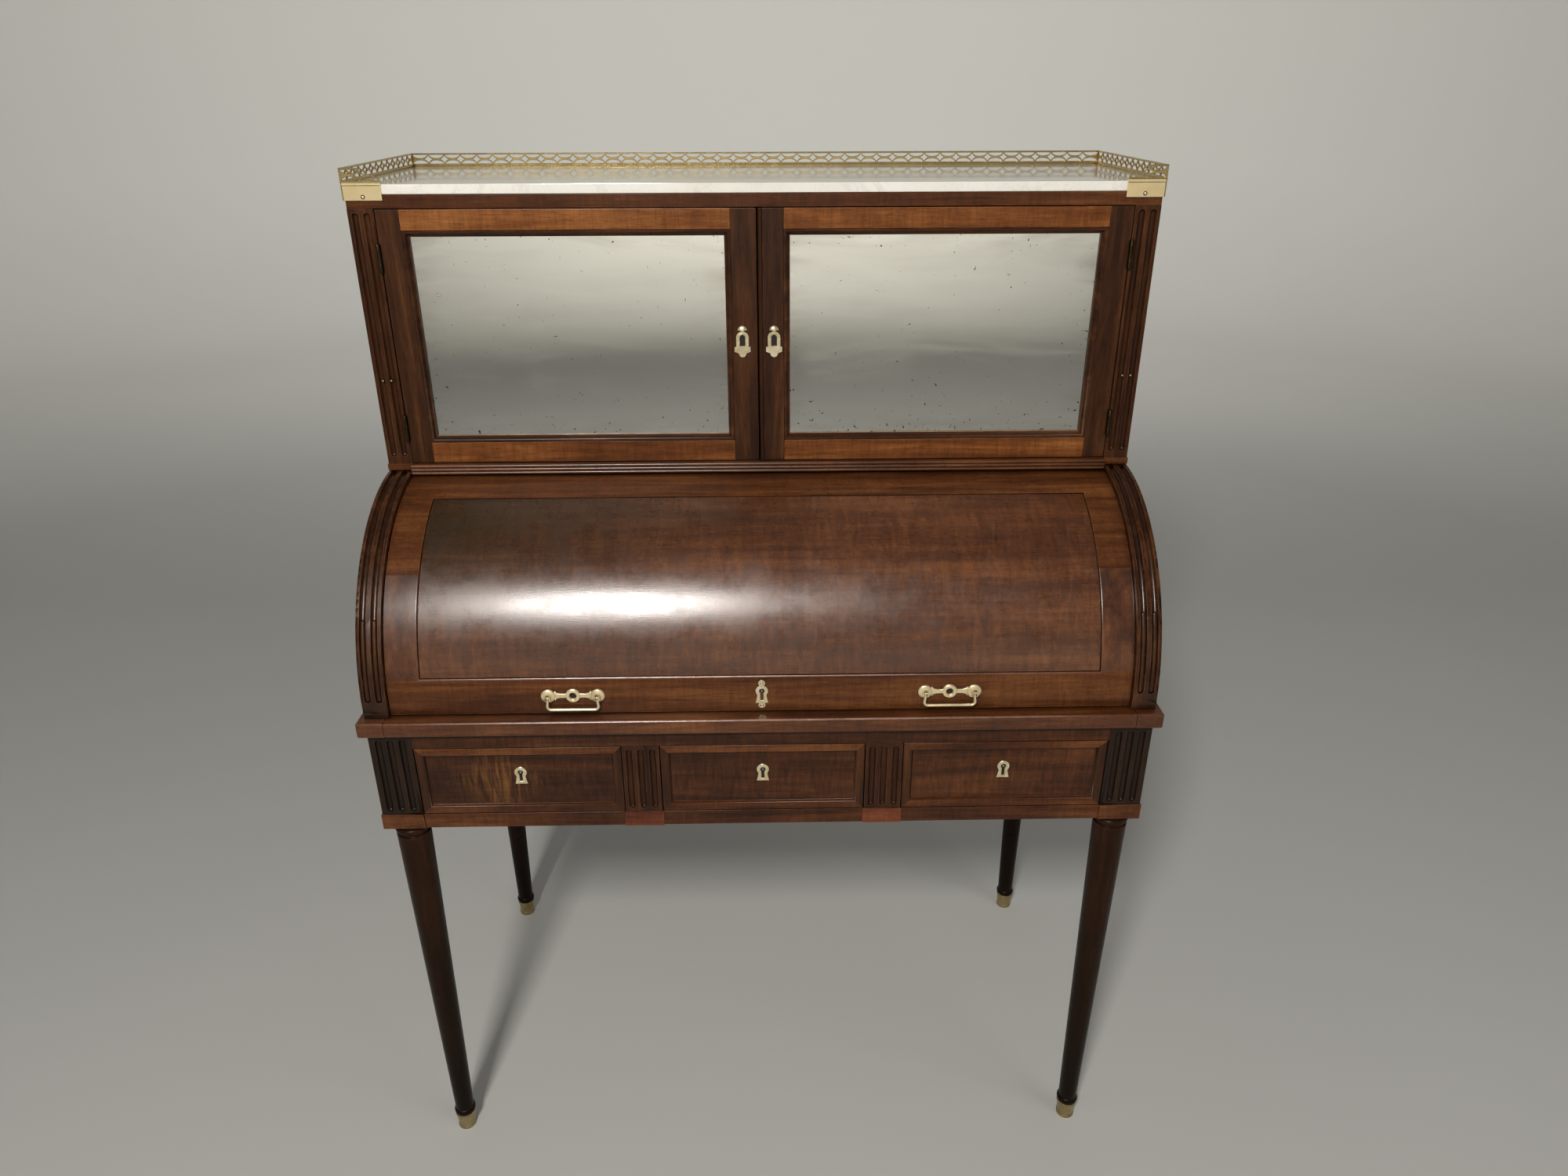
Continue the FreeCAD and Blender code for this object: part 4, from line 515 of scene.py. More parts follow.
class Piece:
    """One visible piece while its faces are being gathered."""

    def __init__(self):
        self.work = bmesh.new()

    def take(self, part, paint=None, outward=False):
        """Move a part's faces into the piece, in one paint if given and turned outward if asked."""
        if outward:
            bmesh.ops.recalc_face_normals(part, faces=part.faces[:])
        if paint is not None:
            for face in part.faces:
                face.material_index = paint
        mesh = bpy.data.meshes.new("part")
        part.to_mesh(mesh)
        part.free()
        self.work.from_mesh(mesh)
        bpy.data.meshes.remove(mesh)

    def box(self, low, high, paint, ease, pocket=None):
        """Board between two corners with eased edges, and a pocket cut into one of its ends in X."""
        low, high = Vector(low), Vector(high)
        part = bmesh.new()
        place = Matrix.Translation((low + high) / 2) @ Matrix.Diagonal((*(high - low), 1.0))
        bmesh.ops.create_cube(part, size=1.0, matrix=place)
        round_off(part, part.edges[:], ease)
        if pocket is not None:
            cut_pocket(part, *pocket)
        self.take(part, paint)

    def skin(self, rings, paint=0, caps=(True, True)):
        """Rings of points joined in order by quads, with the first and last one filled or left open."""
        part = bmesh.new()
        rows = [[part.verts.new(point) for point in points] for points in rings]
        for near, far in zip(rows, rows[1:]):
            joined(part, near, far)
        if caps[0]:
            part.faces.new(rows[0][::-1])
        if caps[1]:
            part.faces.new(rows[-1])
        self.take(part, paint, outward=True)

    def lathe(self, profile, centre, paint=0, axis="z", segments=56, caps=(True, True)):
        """Turned shape from (radius, height) points round an axis, Z or Y, through a centre."""
        tilt = UPRIGHT.to_3x3() if axis == "y" else Matrix.Identity(3)
        self.skin([[Vector(centre) + tilt @ Vector((radius * math.cos(a), radius * math.sin(a), height))
                    for a in turns(segments)] for radius, height in profile], paint, caps)

    def tube(self, points, radii, paint=0, sides=18):
        """Round bar along points, with one radius or a radius at each."""
        points = [Vector(point) for point in points]
        radii = radii if isinstance(radii, list) else [radii] * len(points)
        rings = []
        across = None
        for i, point in enumerate(points):
            ahead = (points[min(i + 1, len(points) - 1)] - points[max(i - 1, 0)]).normalized()
            if across is None:
                across = ahead.orthogonal().normalized()
            across = (across - ahead * across.dot(ahead)).normalized()
            other = ahead.cross(across)
            rings.append([point + radii[i] * (across * math.cos(a) + other * math.sin(a))
                          for a in turns(sides)])
        self.skin(rings, paint)

    def plate(self, outlines, place, thickness, bevel, paint=0):
        """Flat plate from outlines, the rim first and then holes, set by a matrix from its own X-Y plane."""
        part = bmesh.new()
        half = thickness / 2
        levels = ((-half, bevel), (bevel - half, 0.0), (half - bevel, 0.0), (half, bevel))
        flat, ends = [], ([], [])
        for index, outline in enumerate(outlines):
            wound = one_way(outline, index == 0)
            rows = [[part.verts.new(place @ Vector((u, v, height))) for u, v in shrunk(wound, inset)]
                    for height, inset in levels]
            for near, far in zip(rows, rows[1:]):
                joined(part, near, far)
            flat.append([Vector((u / MM, v / MM, 0.0)) for u, v in shrunk(wound, bevel)])
            ends[0].extend(rows[0])
            ends[1].extend(rows[-1])
        for triangle in tessellate_polygon(flat):
            for corners in ends:
                part.faces.new([corners[i] for i in triangle])
        self.take(part, paint, outward=True)

    def copy(self, node, choose=0, keep=None, ease=0.0):
        """The frame's own shape of a node, or the faces of it that are kept, painted by a choice."""
        part = bmesh.new()
        part.from_mesh(frame["nodes"][node].data)
        bmesh.ops.remove_doubles(part, verts=part.verts[:], dist=1e-6)
        if keep is not None:
            spare = [face for face in part.faces if not keep(face)]
            bmesh.ops.delete(part, geom=spare, context="FACES")
        if ease:
            bmesh.ops.dissolve_limit(part, angle_limit=math.radians(0.5), verts=part.verts[:],
                                     edges=part.edges[:])
            round_off(part, [edge for edge in part.edges if len(edge.link_faces) == 2
                             and edge.calc_face_angle() > math.radians(40)], ease)
        part.normal_update()
        for face in part.faces:
            face.material_index = choose(face) if callable(choose) else choose
        self.take(part)

    def made(self, name, paints):
        """The object that the gathered faces make."""
        mesh = bpy.data.meshes.new(name)
        self.work.to_mesh(mesh)
        self.work.free()
        mesh.shade_smooth()
        mesh.set_sharp_from_angle(angle=CREASE)
        for paint in paints:
            mesh.materials.append(paint)
        obj = bpy.data.objects.new(name, mesh)
        scene.collection.objects.link(obj)
        return obj

    def done(self, node, paints, slot, name=None):
        """Make the object, let it ride on its node's body and stand for the node."""
        obj = self.made(name or node + "_finish", paints)
        obj.modifiers.new("even_shading", "WEIGHTED_NORMAL").keep_sharp = True
        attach(obj, frame["nodes"][node]["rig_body"])
        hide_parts(node)


def dressed(node, paints, slot, choose=0, ease=0.0):
    """A node's own shape with smooth shading, eased edges and its paints."""
    piece = Piece()
    piece.copy(node, choose, ease=ease)
    piece.done(node, paints, slot)


# Places and sizes read from the frame, and a hair's breadth that tells two planes apart
roll = next(joint for joint in frame["joints"] if joint["name"] == "cylinder_roll")
ROLL_Y, ROLL_Z = roll["pos_m"][1:]
shell_low, shell_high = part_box("cylinder_shell")
ROLL_R = ROLL_Y - shell_low.y
LEG_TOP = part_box("front_rails")[0].z
drawer_low, drawer_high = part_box("left_drawer_front")
shoe_low, shoe_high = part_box("foot_shoes")
gradin_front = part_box("gradin_top")[0].y
HAIR = 0.1 * MM


# Legs: the fluted posts keep the frame's shape, and shafts and shoes are turned again more finely
FOOT_HALF = 15.2 * MM
LEG_REACH = 24.5 * MM
SHOE_REACH = 16.0 * MM
SHOE_BORE = 11.6 * MM
SHOE_TOP = 40.0 * MM


def turned_profile(node, x, y, reach, z_high, inner=0.0):
    """(radius, height) points of a turned piece round a vertical axis, from the frame's vertices."""
    found = set()
    for vertex in frame["nodes"][node].data.vertices:
        radius = math.hypot(vertex.co.x - x, vertex.co.y - y)
        if inner < radius < reach and vertex.co.z < z_high:
            found.add((round(vertex.co.z, 5), round(radius, 5)))
    profile = []
    for z in sorted({height for height, _ in found}):
        radii = sorted(radius for height, radius in found if height == z)
        if profile and abs(profile[-1][0] - radii[0]) > abs(profile[-1][0] - radii[-1]):
            radii.reverse()
        stepped = abs(radii[-1] - radii[0]) >= 0.02 * MM
        profile.extend((radius, z) for radius in ((radii[0], radii[-1]) if stepped else radii[:1]))
    return profile


def softened(profile, ease):
    """The same profile with each of its corners cut back a little."""
    points = [profile[0]]
    for before, here, after in zip(profile, profile[1:], profile[2:]):
        for other in (before, after):
            length = math.dist(here, other)
            step = min(ease, 0.4 * length) / max(length, 1e-9)
            points.append(tuple(h + (o - h) * step for h, o in zip(here, other)))
    return points + [profile[-1]]


def below_drawers(face):
    """Paint 1 on plinth blocks and tiles, 0 above them."""
    return int(centre_of(face).z < drawer_low.z - HAIR)


foot_x = (FOOT_HALF - shoe_high.x, shoe_high.x - FOOT_HALF)
foot_y = (shoe_low.y + FOOT_HALF, shoe_high.y - FOOT_HALF)
for node, y in zip(("front_legs", "rear_legs"), foot_y):
    legs = Piece()
    legs.copy(node, below_drawers, keep=lambda face: furthest(face, "z") > LEG_TOP + HAIR)
    for x in foot_x:
        profile = turned_profile(node, x, y, LEG_REACH, LEG_TOP + HAIR)
        legs.lathe(softened(profile, 0.7 * MM), (x, y, 0.0), 2)
    legs.done(node, [post_wood, rail_wood, leg_wood], "mahogany")

shoes = Piece()
for x in foot_x:
    for y in foot_y:
        profile = turned_profile("foot_shoes", x, y, SHOE_REACH, SHOE_TOP, SHOE_BORE)
        shoes.lathe(softened(profile, 0.5 * MM), (x, y, 0.0))
shoes.done("foot_shoes", [shoe_brass], "brass")


# Boards, rails and fittings that keep the frame's shape, with the ease of their edges in millimetres
def front_arris(face):
    """Paint 1 on the eased edge between a board's top and its front, which carries a painted highlight."""
    return int(face.normal.y < -0.3 and face.normal.z > 0.3)


def flank(face):
    """Paint 1 on faces to the left and right."""
    return int(abs(face.normal.x) > 0.9)


def upper_rail(face):
    """Paint 1 on the rail above the drawers, in darker drawer wood as a painted shadow under the bed."""
    return int(centre_of(face).z > drawer_high.z)


for nodes, paints, slot, ease, choose in (
        ("frieze_sides", [side_wood], "mahogany", 0.8, 0),
        ("frieze_back", [oak_x], "oak", 0.8, 0),
        # The upper front rail is darker drawer wood: painted shadow under the bed
        ("front_rails", [rail_wood, drawer_wood], "mahogany", 0.8, upper_rail),
        ("drawer_dividers", [stile_wood, tile_wood], "mahogany", 0.0, below_drawers),
        ("drawer_partitions drawer_runners", [oak_y], "oak", 0.6, 0),
        ("bed_ends", [bed_wood, arris_highlight_wood], "mahogany", 1.2, front_arris),
        ("bed_rear_board", [bed_wood], "mahogany", 0.8, 0),
        ("writing_slide", [bed_wood, arris_highlight_wood], "mahogany", 1.2, front_arris),
        ("slide_leather", [hide], "leather", 0.4, 0),
        ("case_back", [oak_x], "oak", 0.8, 0),
        ("case_top", [rail_wood], "mahogany", 0.8, 0),
        ("sill_moulding", [sill_wood], "mahogany", 0.0, 0),
        ("gradin_top", [rail_wood], "mahogany", 0.8, 0),
        ("gradin_back gradin_shelf", [oak_x], "oak", 0.8, 0),
        ("nest_carcass", [bed_wood], "mahogany", 0.5, 0),
        ("fixed_hinge_leaves left_hinge_leaves right_hinge_leaves", [hinge_brass], "brass", 0.0, 0),
        ("left_door_back right_door_back", [oak_x], "oak", 0.6, 0),
        ("cylinder_arms", [lock_steel], "steel", 0.0, 0)):
    for node in nodes.split():
        dressed(node, paints, slot, choose, ease * MM)

for name in DRAWERS:
    dressed(name + "_drawer_box", [oak_y], "oak", ease=0.6 * MM)
    dressed(name + "_drawer_bolt", [lock_steel], "steel", ease=0.4 * MM)
for node in ("cylinder_bolt", "right_door_bolt"):
    dressed(node, [lock_steel], "steel", ease=0.4 * MM)

KNOB_REACH = 11.6 * MM
NEST_FRONT_REACH = 20.2 * MM
for name in DRAWERS:
    knob_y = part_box(name + "_nest_drawer")[0].y
    dressed(name + "_nest_drawer", [rail_wood, gilt, oak_x], "mahogany",
            lambda face: 1 if centre_of(face).y < knob_y + KNOB_REACH
            else 0 if centre_of(face).y < knob_y + NEST_FRONT_REACH else 2)

for name in SIDES:
    dressed(name + "_case_side", [reed_wood, side_wood], "mahogany", flank)
    dressed("gradin_" + name + "_side", [stile_wood, gilt, side_wood], "mahogany",
            lambda face: 1 if centre_of(face).y < gradin_front - HAIR else 2 * flank(face))


# Mouldings and keyhole plates
def moulded(piece, low, high, face, profile, paints, centre=None, ledge=None):
    """Mitred moulding round a rectangle, from (inset from the rim, depth from the face) points.

    It has paints for its level sides and uprights, and if wanted for its centre and its lower ledge.
    """
    part = bmesh.new()
    rows = []
    for inset, depth in profile:
        x = (low.x + inset, high.x - inset)
        z = (low.z + inset, high.z - inset)
        corners = ((x[0], z[0]), (x[1], z[0]), (x[1], z[1]), (x[0], z[1]))
        rows.append([part.verts.new((u, face + depth, v)) for u, v in corners])
    for near, far in zip(rows, rows[1:]):
        for k, made in enumerate(joined(part, near, far)):
            made.material_index = paints[k % 2]
            if ledge is not None and k == 0 and far is rows[-1]:
                made.material_index = ledge
    if centre is not None:
        part.faces.new(rows[-1]).material_index = centre
    bmesh.ops.recalc_face_normals(part, faces=part.faces[:])
    if sum(made.normal.y * made.calc_area() for made in part.faces) > 0:
        bmesh.ops.reverse_faces(part, faces=part.faces[:])
    piece.take(part)


PLATE = 1.5 * MM
SHADE_SHEET = 0.1 * MM
SHADE_SHEET_BEVEL = 0.02 * MM


def keyhole_outline(grow=0.0):
    """Outline of a keyhole about the middle of its round head."""
    head = 3.4 * MM + grow
    slot = 1.9 * MM + grow
    low = -13.5 * MM - grow
    lean = math.degrees(math.asin(slot / head))
    return arc(0, 0, head, -90 + lean, 270 - lean, 20) + [(-slot, low), (slot, low)]


def escutcheon(name, node, x, face, z, ringed=False):
    """Keyhole plate with a round head over a flared skirt, a rim, a keyhole backed by a dark sheet of painted
    shade, and its pin.

    A ringed one has a small ring with a nail head above and below.
    """
    piece = Piece()
    head, waist, skirt, drop = 8.0 * MM, 6.0 * MM, 8.2 * MM, 17.5 * MM
    neck = math.degrees(math.asin(waist / head))
    flare = bowed((waist, -4.6 * MM), (waist + 0.5 * MM, -10.0 * MM), (skirt, -drop)) + [(skirt, -drop)]
    rim = arc(0, 0, head, -90 + neck, 270 - neck, 28) + [(-u, v) for u, v in flare] + flare[:0:-1]
    back = face + PLATE - SHADE_SHEET / 2
    piece.plate([rim, keyhole_outline()], standing(x, face + PLATE / 2, z), PLATE, 0.3 * MM)
    # Dark sheet of painted shade behind the keyhole
    piece.plate([keyhole_outline(1.0 * MM)], standing(x, back, z), SHADE_SHEET, SHADE_SHEET_BEVEL, 1)
    piece.lathe(mm((1.3, 0), (1.3, 1.1), (0.8, 1.3), (0.2, 1.35)), (x, back, z), 2, "y", 16)
    lip = [(x + u, face, z + v) for u, v in keyhole_outline(0.5 * MM)]
    piece.tube(lip + lip[:2], 0.35 * MM, sides=8)
    if ringed:
        for end in (z + head + 3.2 * MM, z - drop - 3.2 * MM):
            place = standing(x, face + PLATE / 2, end)
            piece.plate([ring(4.6 * MM), ring(1.9 * MM)], place, PLATE, 0.4 * MM)
            nail = mm((1.9, 0), (1.7, 0.5), (1.0, 0.9), (0.2, 1.05))
            piece.lathe(nail, (x, face + 0.6 * MM, end), axis="y", segments=20)
    piece.done(node, [gilt, hole_shade, lock_steel], "brass", name)


def lock_case(node, front):
    """The faces of a lock that reach behind a plane, in steel."""
    lock = Piece()
    lock.copy(node, keep=lambda face: furthest(face, "y") > front)
    lock.done(node, [lock_steel], "steel", node + "_case")


# Drawer fronts: a narrow mitred frame with a quirked bevel down to the sunk panel
DRAWER_FRAME = 11.0 * MM
DRAWER_BEVEL = mm((-0.9, 0), (-0.2, 0.2), (0.4, 0.9), (0.9, 2.2), (1.4, 3.0), (1.7, 3.9), (2.2, 3.9),
                  (2.4, 3.5))
DRAWER_SINK = DRAWER_BEVEL[-1][1]
FRONT_PROFILE = mm((0, 1.8), (0.3, 0.8), (0.8, 0.2), (1.5, 0))
FRONT_PROFILE += [(DRAWER_FRAME + inset, depth) for inset, depth in DRAWER_BEVEL]
KEY_RISE = 11.5 * MM

for name in DRAWERS:
    node = name + "_drawer_front"
    low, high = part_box(node)
    middle = (low + high) / 2
    panel_y = low.y + DRAWER_SINK
    front = Piece()
    front.copy(node, keep=lambda face: furthest(face, "y") > panel_y + HAIR)
    moulded(front, low, high, low.y, FRONT_PROFILE, (0, 1), centre=2)
    panel = flame_wood if name == "left" else drawer_wood
    front.done(node, [rail_wood, stile_wood, panel], "mahogany")
    lock = name + "_drawer_lock"
    lock_case(lock, panel_y + HAIR)
    escutcheon(name + "_drawer_escutcheon", lock, middle.x, panel_y - PLATE, middle.z + KEY_RISE)


# Cylinder: a fine grid over the round, sunk at the panel with a thin quirk round its border
SHELL = 16.0 * MM
PANEL_HALF = 430.0 * MM
PANEL_START, PANEL_STOP = 10.2, 72.0
STILE_JOINT = 43.0
CYLINDER_KEY_Z = 796.3 * MM
BOLT_PLAY = 0.3 * MM
BORDER = mm((-1.4, 0), (-0.4, -0.2), (0.2, -0.6), (0.5, -2.7), (1.1, -2.7), (1.5, -2.0))


def border_depth(inside):
    """Height of the cylinder's face at a distance inside the panel's border."""
    if inside <= BORDER[0][0]:
        return 0.0
    for (a, depth_a), (b, depth_b) in zip(BORDER, BORDER[1:]):
        if inside <= b:
            return depth_a + (depth_b - depth_a) * (inside - a) / (b - a)
    return BORDER[-1][1]


def ruled(first, low, high, last, offsets, counts):
    """Places of grid lines from first to last, close together where a border runs at low and high."""
    return sorted({*spread(first, low + offsets[0], counts[0]), *(low + o for o in offsets),
                   *spread(low + offsets[-1], high - offsets[-1], counts[1]), *(high - o for o in offsets),
                   *spread(high - offsets[0], last, counts[2])})


def cylinder_angle(point):
    """Degrees round the roll axis from the front, upwards."""
    return math.degrees(math.atan2(point.z - ROLL_Z, ROLL_Y - point.y))


def slotted_edge(part, outer, inner):
    """The shell's lower edge, with the slot that its bolt comes out of."""
    low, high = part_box("cylinder_bolt")
    x, y0, y1 = high.x + BOLT_PLAY, low.y - BOLT_PLAY, high.y + BOLT_PLAY
    slot = [part.verts.new((u, v, outer[0].co.z)) for u, v in ((-x, y0), (x, y0), (x, y1), (-x, y1))]
    deep = [part.verts.new(vert.co + Vector((0.0, 0.0, high.z - low.z + MM))) for vert in slot]
    part.faces.new([*outer, slot[1], slot[0]])
    part.faces.new([outer[0], slot[0], slot[3], slot[2], slot[1], outer[-1], *inner[::-1]])
    joined(part, slot, deep)
    part.faces.new(deep)


def build_cylinder():
    """The rolling shell: moulded face, inner face and edges."""
    half = shell_high.x
    inner = ROLL_R - SHELL
    lap = math.degrees(1.0 / ROLL_R)
    offsets = [inset for inset, _ in BORDER]
    stop = max(cylinder_angle(vertex.co) for vertex in frame["nodes"]["cylinder_shell"].data.vertices)
    part = bmesh.new()

    def start(radius):
        """Angle at which a round meets the shell's lower edge."""
        return math.degrees(math.asin((shell_low.z - ROLL_Z) / radius))

    def inside(x, angle):
        """Distance inside the panel's border."""
        return min(PANEL_HALF - abs(x), (angle - PANEL_START) / lap, (PANEL_STOP - angle) / lap)

    def on_round(x, angle, radius):
        """New vertex at an angle round the roll axis."""
        a = math.radians(angle)
        return part.verts.new((x, ROLL_Y - radius * math.cos(a), ROLL_Z + radius * math.sin(a)))

    def paint(face):
        """Panel 1, left and right uprights 2, quirk 3 in dark bead wood as painted shade, lower arris 4 with
        a painted highlight, and 0 elsewhere.
        """
        centre = centre_of(face)
        angle = cylinder_angle(centre)
        depth = inside(centre.x, angle)
        if depth > offsets[-2]:
            return 1
        if depth > offsets[2]:
            return 3
        if depth > offsets[0] and angle < PANEL_START + MM * lap:
            return 4
        return 2 if abs(centre.x) > PANEL_HALF - MM and PANEL_START < angle < STILE_JOINT else 0

    xs = ruled(-half, -PANEL_HALF, PANEL_HALF, half, offsets, (3, 16, 3))
    angles = ruled(start(ROLL_R), PANEL_START, PANEL_STOP, stop, [o * lap for o in offsets], (8, 44, 20))
    rows = [[on_round(x, angle, ROLL_R + border_depth(inside(x, angle))) for x in xs] for angle in angles]
    inner_rows = [[on_round(x, angle, inner) for x in (-half, half)]
                  for angle in spread(start(inner), stop, 60)]
    for near, far in zip(rows, rows[1:]):
        for made in joined(part, near, far, closed=False):
            made.material_index = paint(made)
    for near, far in zip(inner_rows, inner_rows[1:]):
        joined(part, near, far, closed=False)
    slotted_edge(part, rows[0], inner_rows[0])
    part.faces.new([*rows[-1], *inner_rows[-1][::-1]])
    for side in (0, -1):
        part.faces.new([row[side] for row in rows] + [row[side] for row in inner_rows[::-1]])
    piece = Piece()
    piece.take(part, outward=True)
    paints = [cylinder_wood, panel_wood, upright_wood, bead_wood, arris_highlight_wood]
    piece.done("cylinder_shell", paints, "mahogany")


build_cylinder()
plate_face = ROLL_Y - math.sqrt(ROLL_R ** 2 - (CYLINDER_KEY_Z - ROLL_Z) ** 2) - PLATE
lock_case("cylinder_lock", plate_face + 5.0 * MM)
escutcheon("cylinder_escutcheon", "cylinder_lock", 0.0, plate_face, CYLINDER_KEY_Z, ringed=True)


# Bail handles: a pierced backplate with pointed arms, low domes, the frame's studs and a flared bail
PIN_HALF = 3.2 * MM
PIN_RADIUS = 1.2 * MM
PLATE_GAP = 5.0 * MM
BACKPLATE = 3.4 * MM
COLLAR, PIERCING = 9.4 * MM, 4.4 * MM
ARM_HALF, ARM_REACH = 2.8 * MM, 8.4 * MM
BAIL_BEND = 5.0 * MM
BAIL_FLARE = 1.1 * MM
DOME = mm((9.0, -2.4), (9.0, 0.5), (8.6, 0.9), (7.4, 1.4), (5.8, 1.9), (4.2, 2.2), (2.6, 2.3))


def build_handle(name):
    """One handle: its share of the backplates and its bail."""
    low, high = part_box(name + "_bail")
    bar = (high.y - low.y) / 2
    span = (high.x - low.x) / 2 - PIN_HALF
    x, y, z = (low.x + high.x) / 2, (low.y + high.y) / 2, high.z - bar
    drop = z - low.z - bar
    face = y + PLATE_GAP
    plate = Piece()
    lean = math.degrees(math.asin(ARM_HALF / COLLAR))
    arm = [(span - ARM_REACH + u, v) for u, v in mm((-6.6, 2.8), (-2.2, 4.2), (0, 6.6), (1.6, 3.6))]
    arm.append((span, ARM_HALF))
    rim = arc(0, 0, COLLAR, lean, 180 - lean, 16) + [(-u, v) for u, v in arm]
    rim += [(-u, -v) for u, v in arm[::-1]] + arc(0, 0, COLLAR, 180 + lean, 360 - lean, 16)
    rim += [(u, -v) for u, v in arm] + arm[::-1]
    plate.plate([rim, ring(PIERCING)], standing(x, face + BACKPLATE / 2, z), BACKPLATE, 0.5 * MM)
    collar = [(COLLAR + u, v) for u, v in mm((-0.4, 0), (-0.5, 0.5), (-1.4, 0.9))]
    collar += [(PIERCING + u, v) for u, v in mm((1.0, 0.9), (0.3, 0.4), (0, -2.4))]
    plate.lathe(collar, (x, face, z), axis="y", segments=40, caps=(False, False))
    # Dark disc of painted shade inside the backplate's piercing
    hollow = standing(x, face + 2.3 * MM, z)
    plate.plate([ring(PIERCING + 0.6 * MM)], hollow, 0.4 * MM, 0.05 * MM, 1)
    for sign in (-1, 1):
        plate.lathe(DOME, (x + sign * span, face, z), axis="y", segments=40)
    plate.copy("handle_backplates", keep=lambda made: centre_of(made).y < face - HAIR
               and centre_of(made).x * x > 0)
    plate.done("handle_backplates", [handle_brass, hole_shade], "brass", name + "_handle_plate")

    bail = Piece()
    wide = span + BAIL_FLARE
    leg = [(span, 0.0), (span + 0.5 * MM, -0.45 * drop)]
    leg += arc(wide - BAIL_BEND, BAIL_BEND - drop, BAIL_BEND, 0, -90, 9)
    course = leg + [(u, -drop) for u in spread(wide - BAIL_BEND, BAIL_BEND - wide, 14)[1:-1]]
    course += [(-u, v) for u, v in leg[::-1]]
    radii = [bar * (0.85 + 0.15 * min(1.0, -v / drop)) for _, v in course]
    bail.tube([(x + u, y, z + v) for u, v in course], radii)
    knob = [(0.3 * MM, -bar), (0.8 * bar, -0.6 * bar), (bar, 0.0), (0.8 * bar, 0.6 * bar), (0.3 * MM, bar)]
    for stud in (x - span, x + span):
        bail.tube([(stud - PIN_HALF, y, z), (stud + PIN_HALF, y, z)], PIN_RADIUS, sides=14)
        bail.lathe(knob, (stud, y, z), axis="y", segments=20)
    bail.done(name + "_bail", [handle_brass], "brass")


for name in SIDES:
    build_handle(name)


# Doors: eased stiles and rails, a mitred sight moulding, the mirror and a looped keyhole plate
SIGHT_PROFILE = mm((0, 0), (0.3, 0.5), (0.7, 0.5), (1.1, 0.1), (2.1, 0), (3.4, 0.5), (4.6, 1.7), (5.5, 3.4),
                   (6.2, 4.6), (7.2, 5.0), (8.0, 5.2), (8.0, 8.2))
MEETING_GAP = 0.75 * MM
MEETING_BEAD = 3.0 * MM
LOOP_TOP = 17.6 * MM
LOOP_RISE = 2.2 * MM
BOLT_POCKET = 9.0 * MM
bolt_low, bolt_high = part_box("right_door_bolt")
play = Vector((0.0, BOLT_PLAY, BOLT_PLAY))
bolt_way = (bolt_low - play, bolt_high + play)
plate_low, plate_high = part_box("left_door_escutcheon")
door_key_x = abs(plate_low.x + plate_high.x) / 2
door_key_z = plate_high.z - LOOP_TOP


def loop_outline():
    """Rim of a door's keyhole plate: arched loop, eared foot, dome above and drop below."""
    loop, drop, ear, ear_height = 8.3 * MM, 9.6 * MM, 10.6 * MM, 6.6 * MM
    foot, foot_drop, dome, neck = 5.0 * MM, 2.2 * MM, 6.1 * MM, 2.0 * MM
    top = LOOP_RISE + loop + MM
    ear_low = -drop - ear_height
    low = ear_low - foot_drop
    lean = math.degrees(math.acos(neck / loop))
    rim = arc(0, LOOP_RISE, loop, 0, lean, 10) + [(neck, top), (dome, top)]
    rim += arc(0, top, dome, 6, 174, 16) + [(-dome, top), (-neck, top)]
    rim += arc(0, LOOP_RISE, loop, 180 - lean, 180, 10)
    rim += [(-loop, -drop), (-ear, -drop), (-ear, ear_low), (-foot, low)]
    rim += arc(0, low, foot, 188, 352, 14)
    return rim + [(foot, low), (ear, ear_low), (ear, -drop), (loop, -drop)]


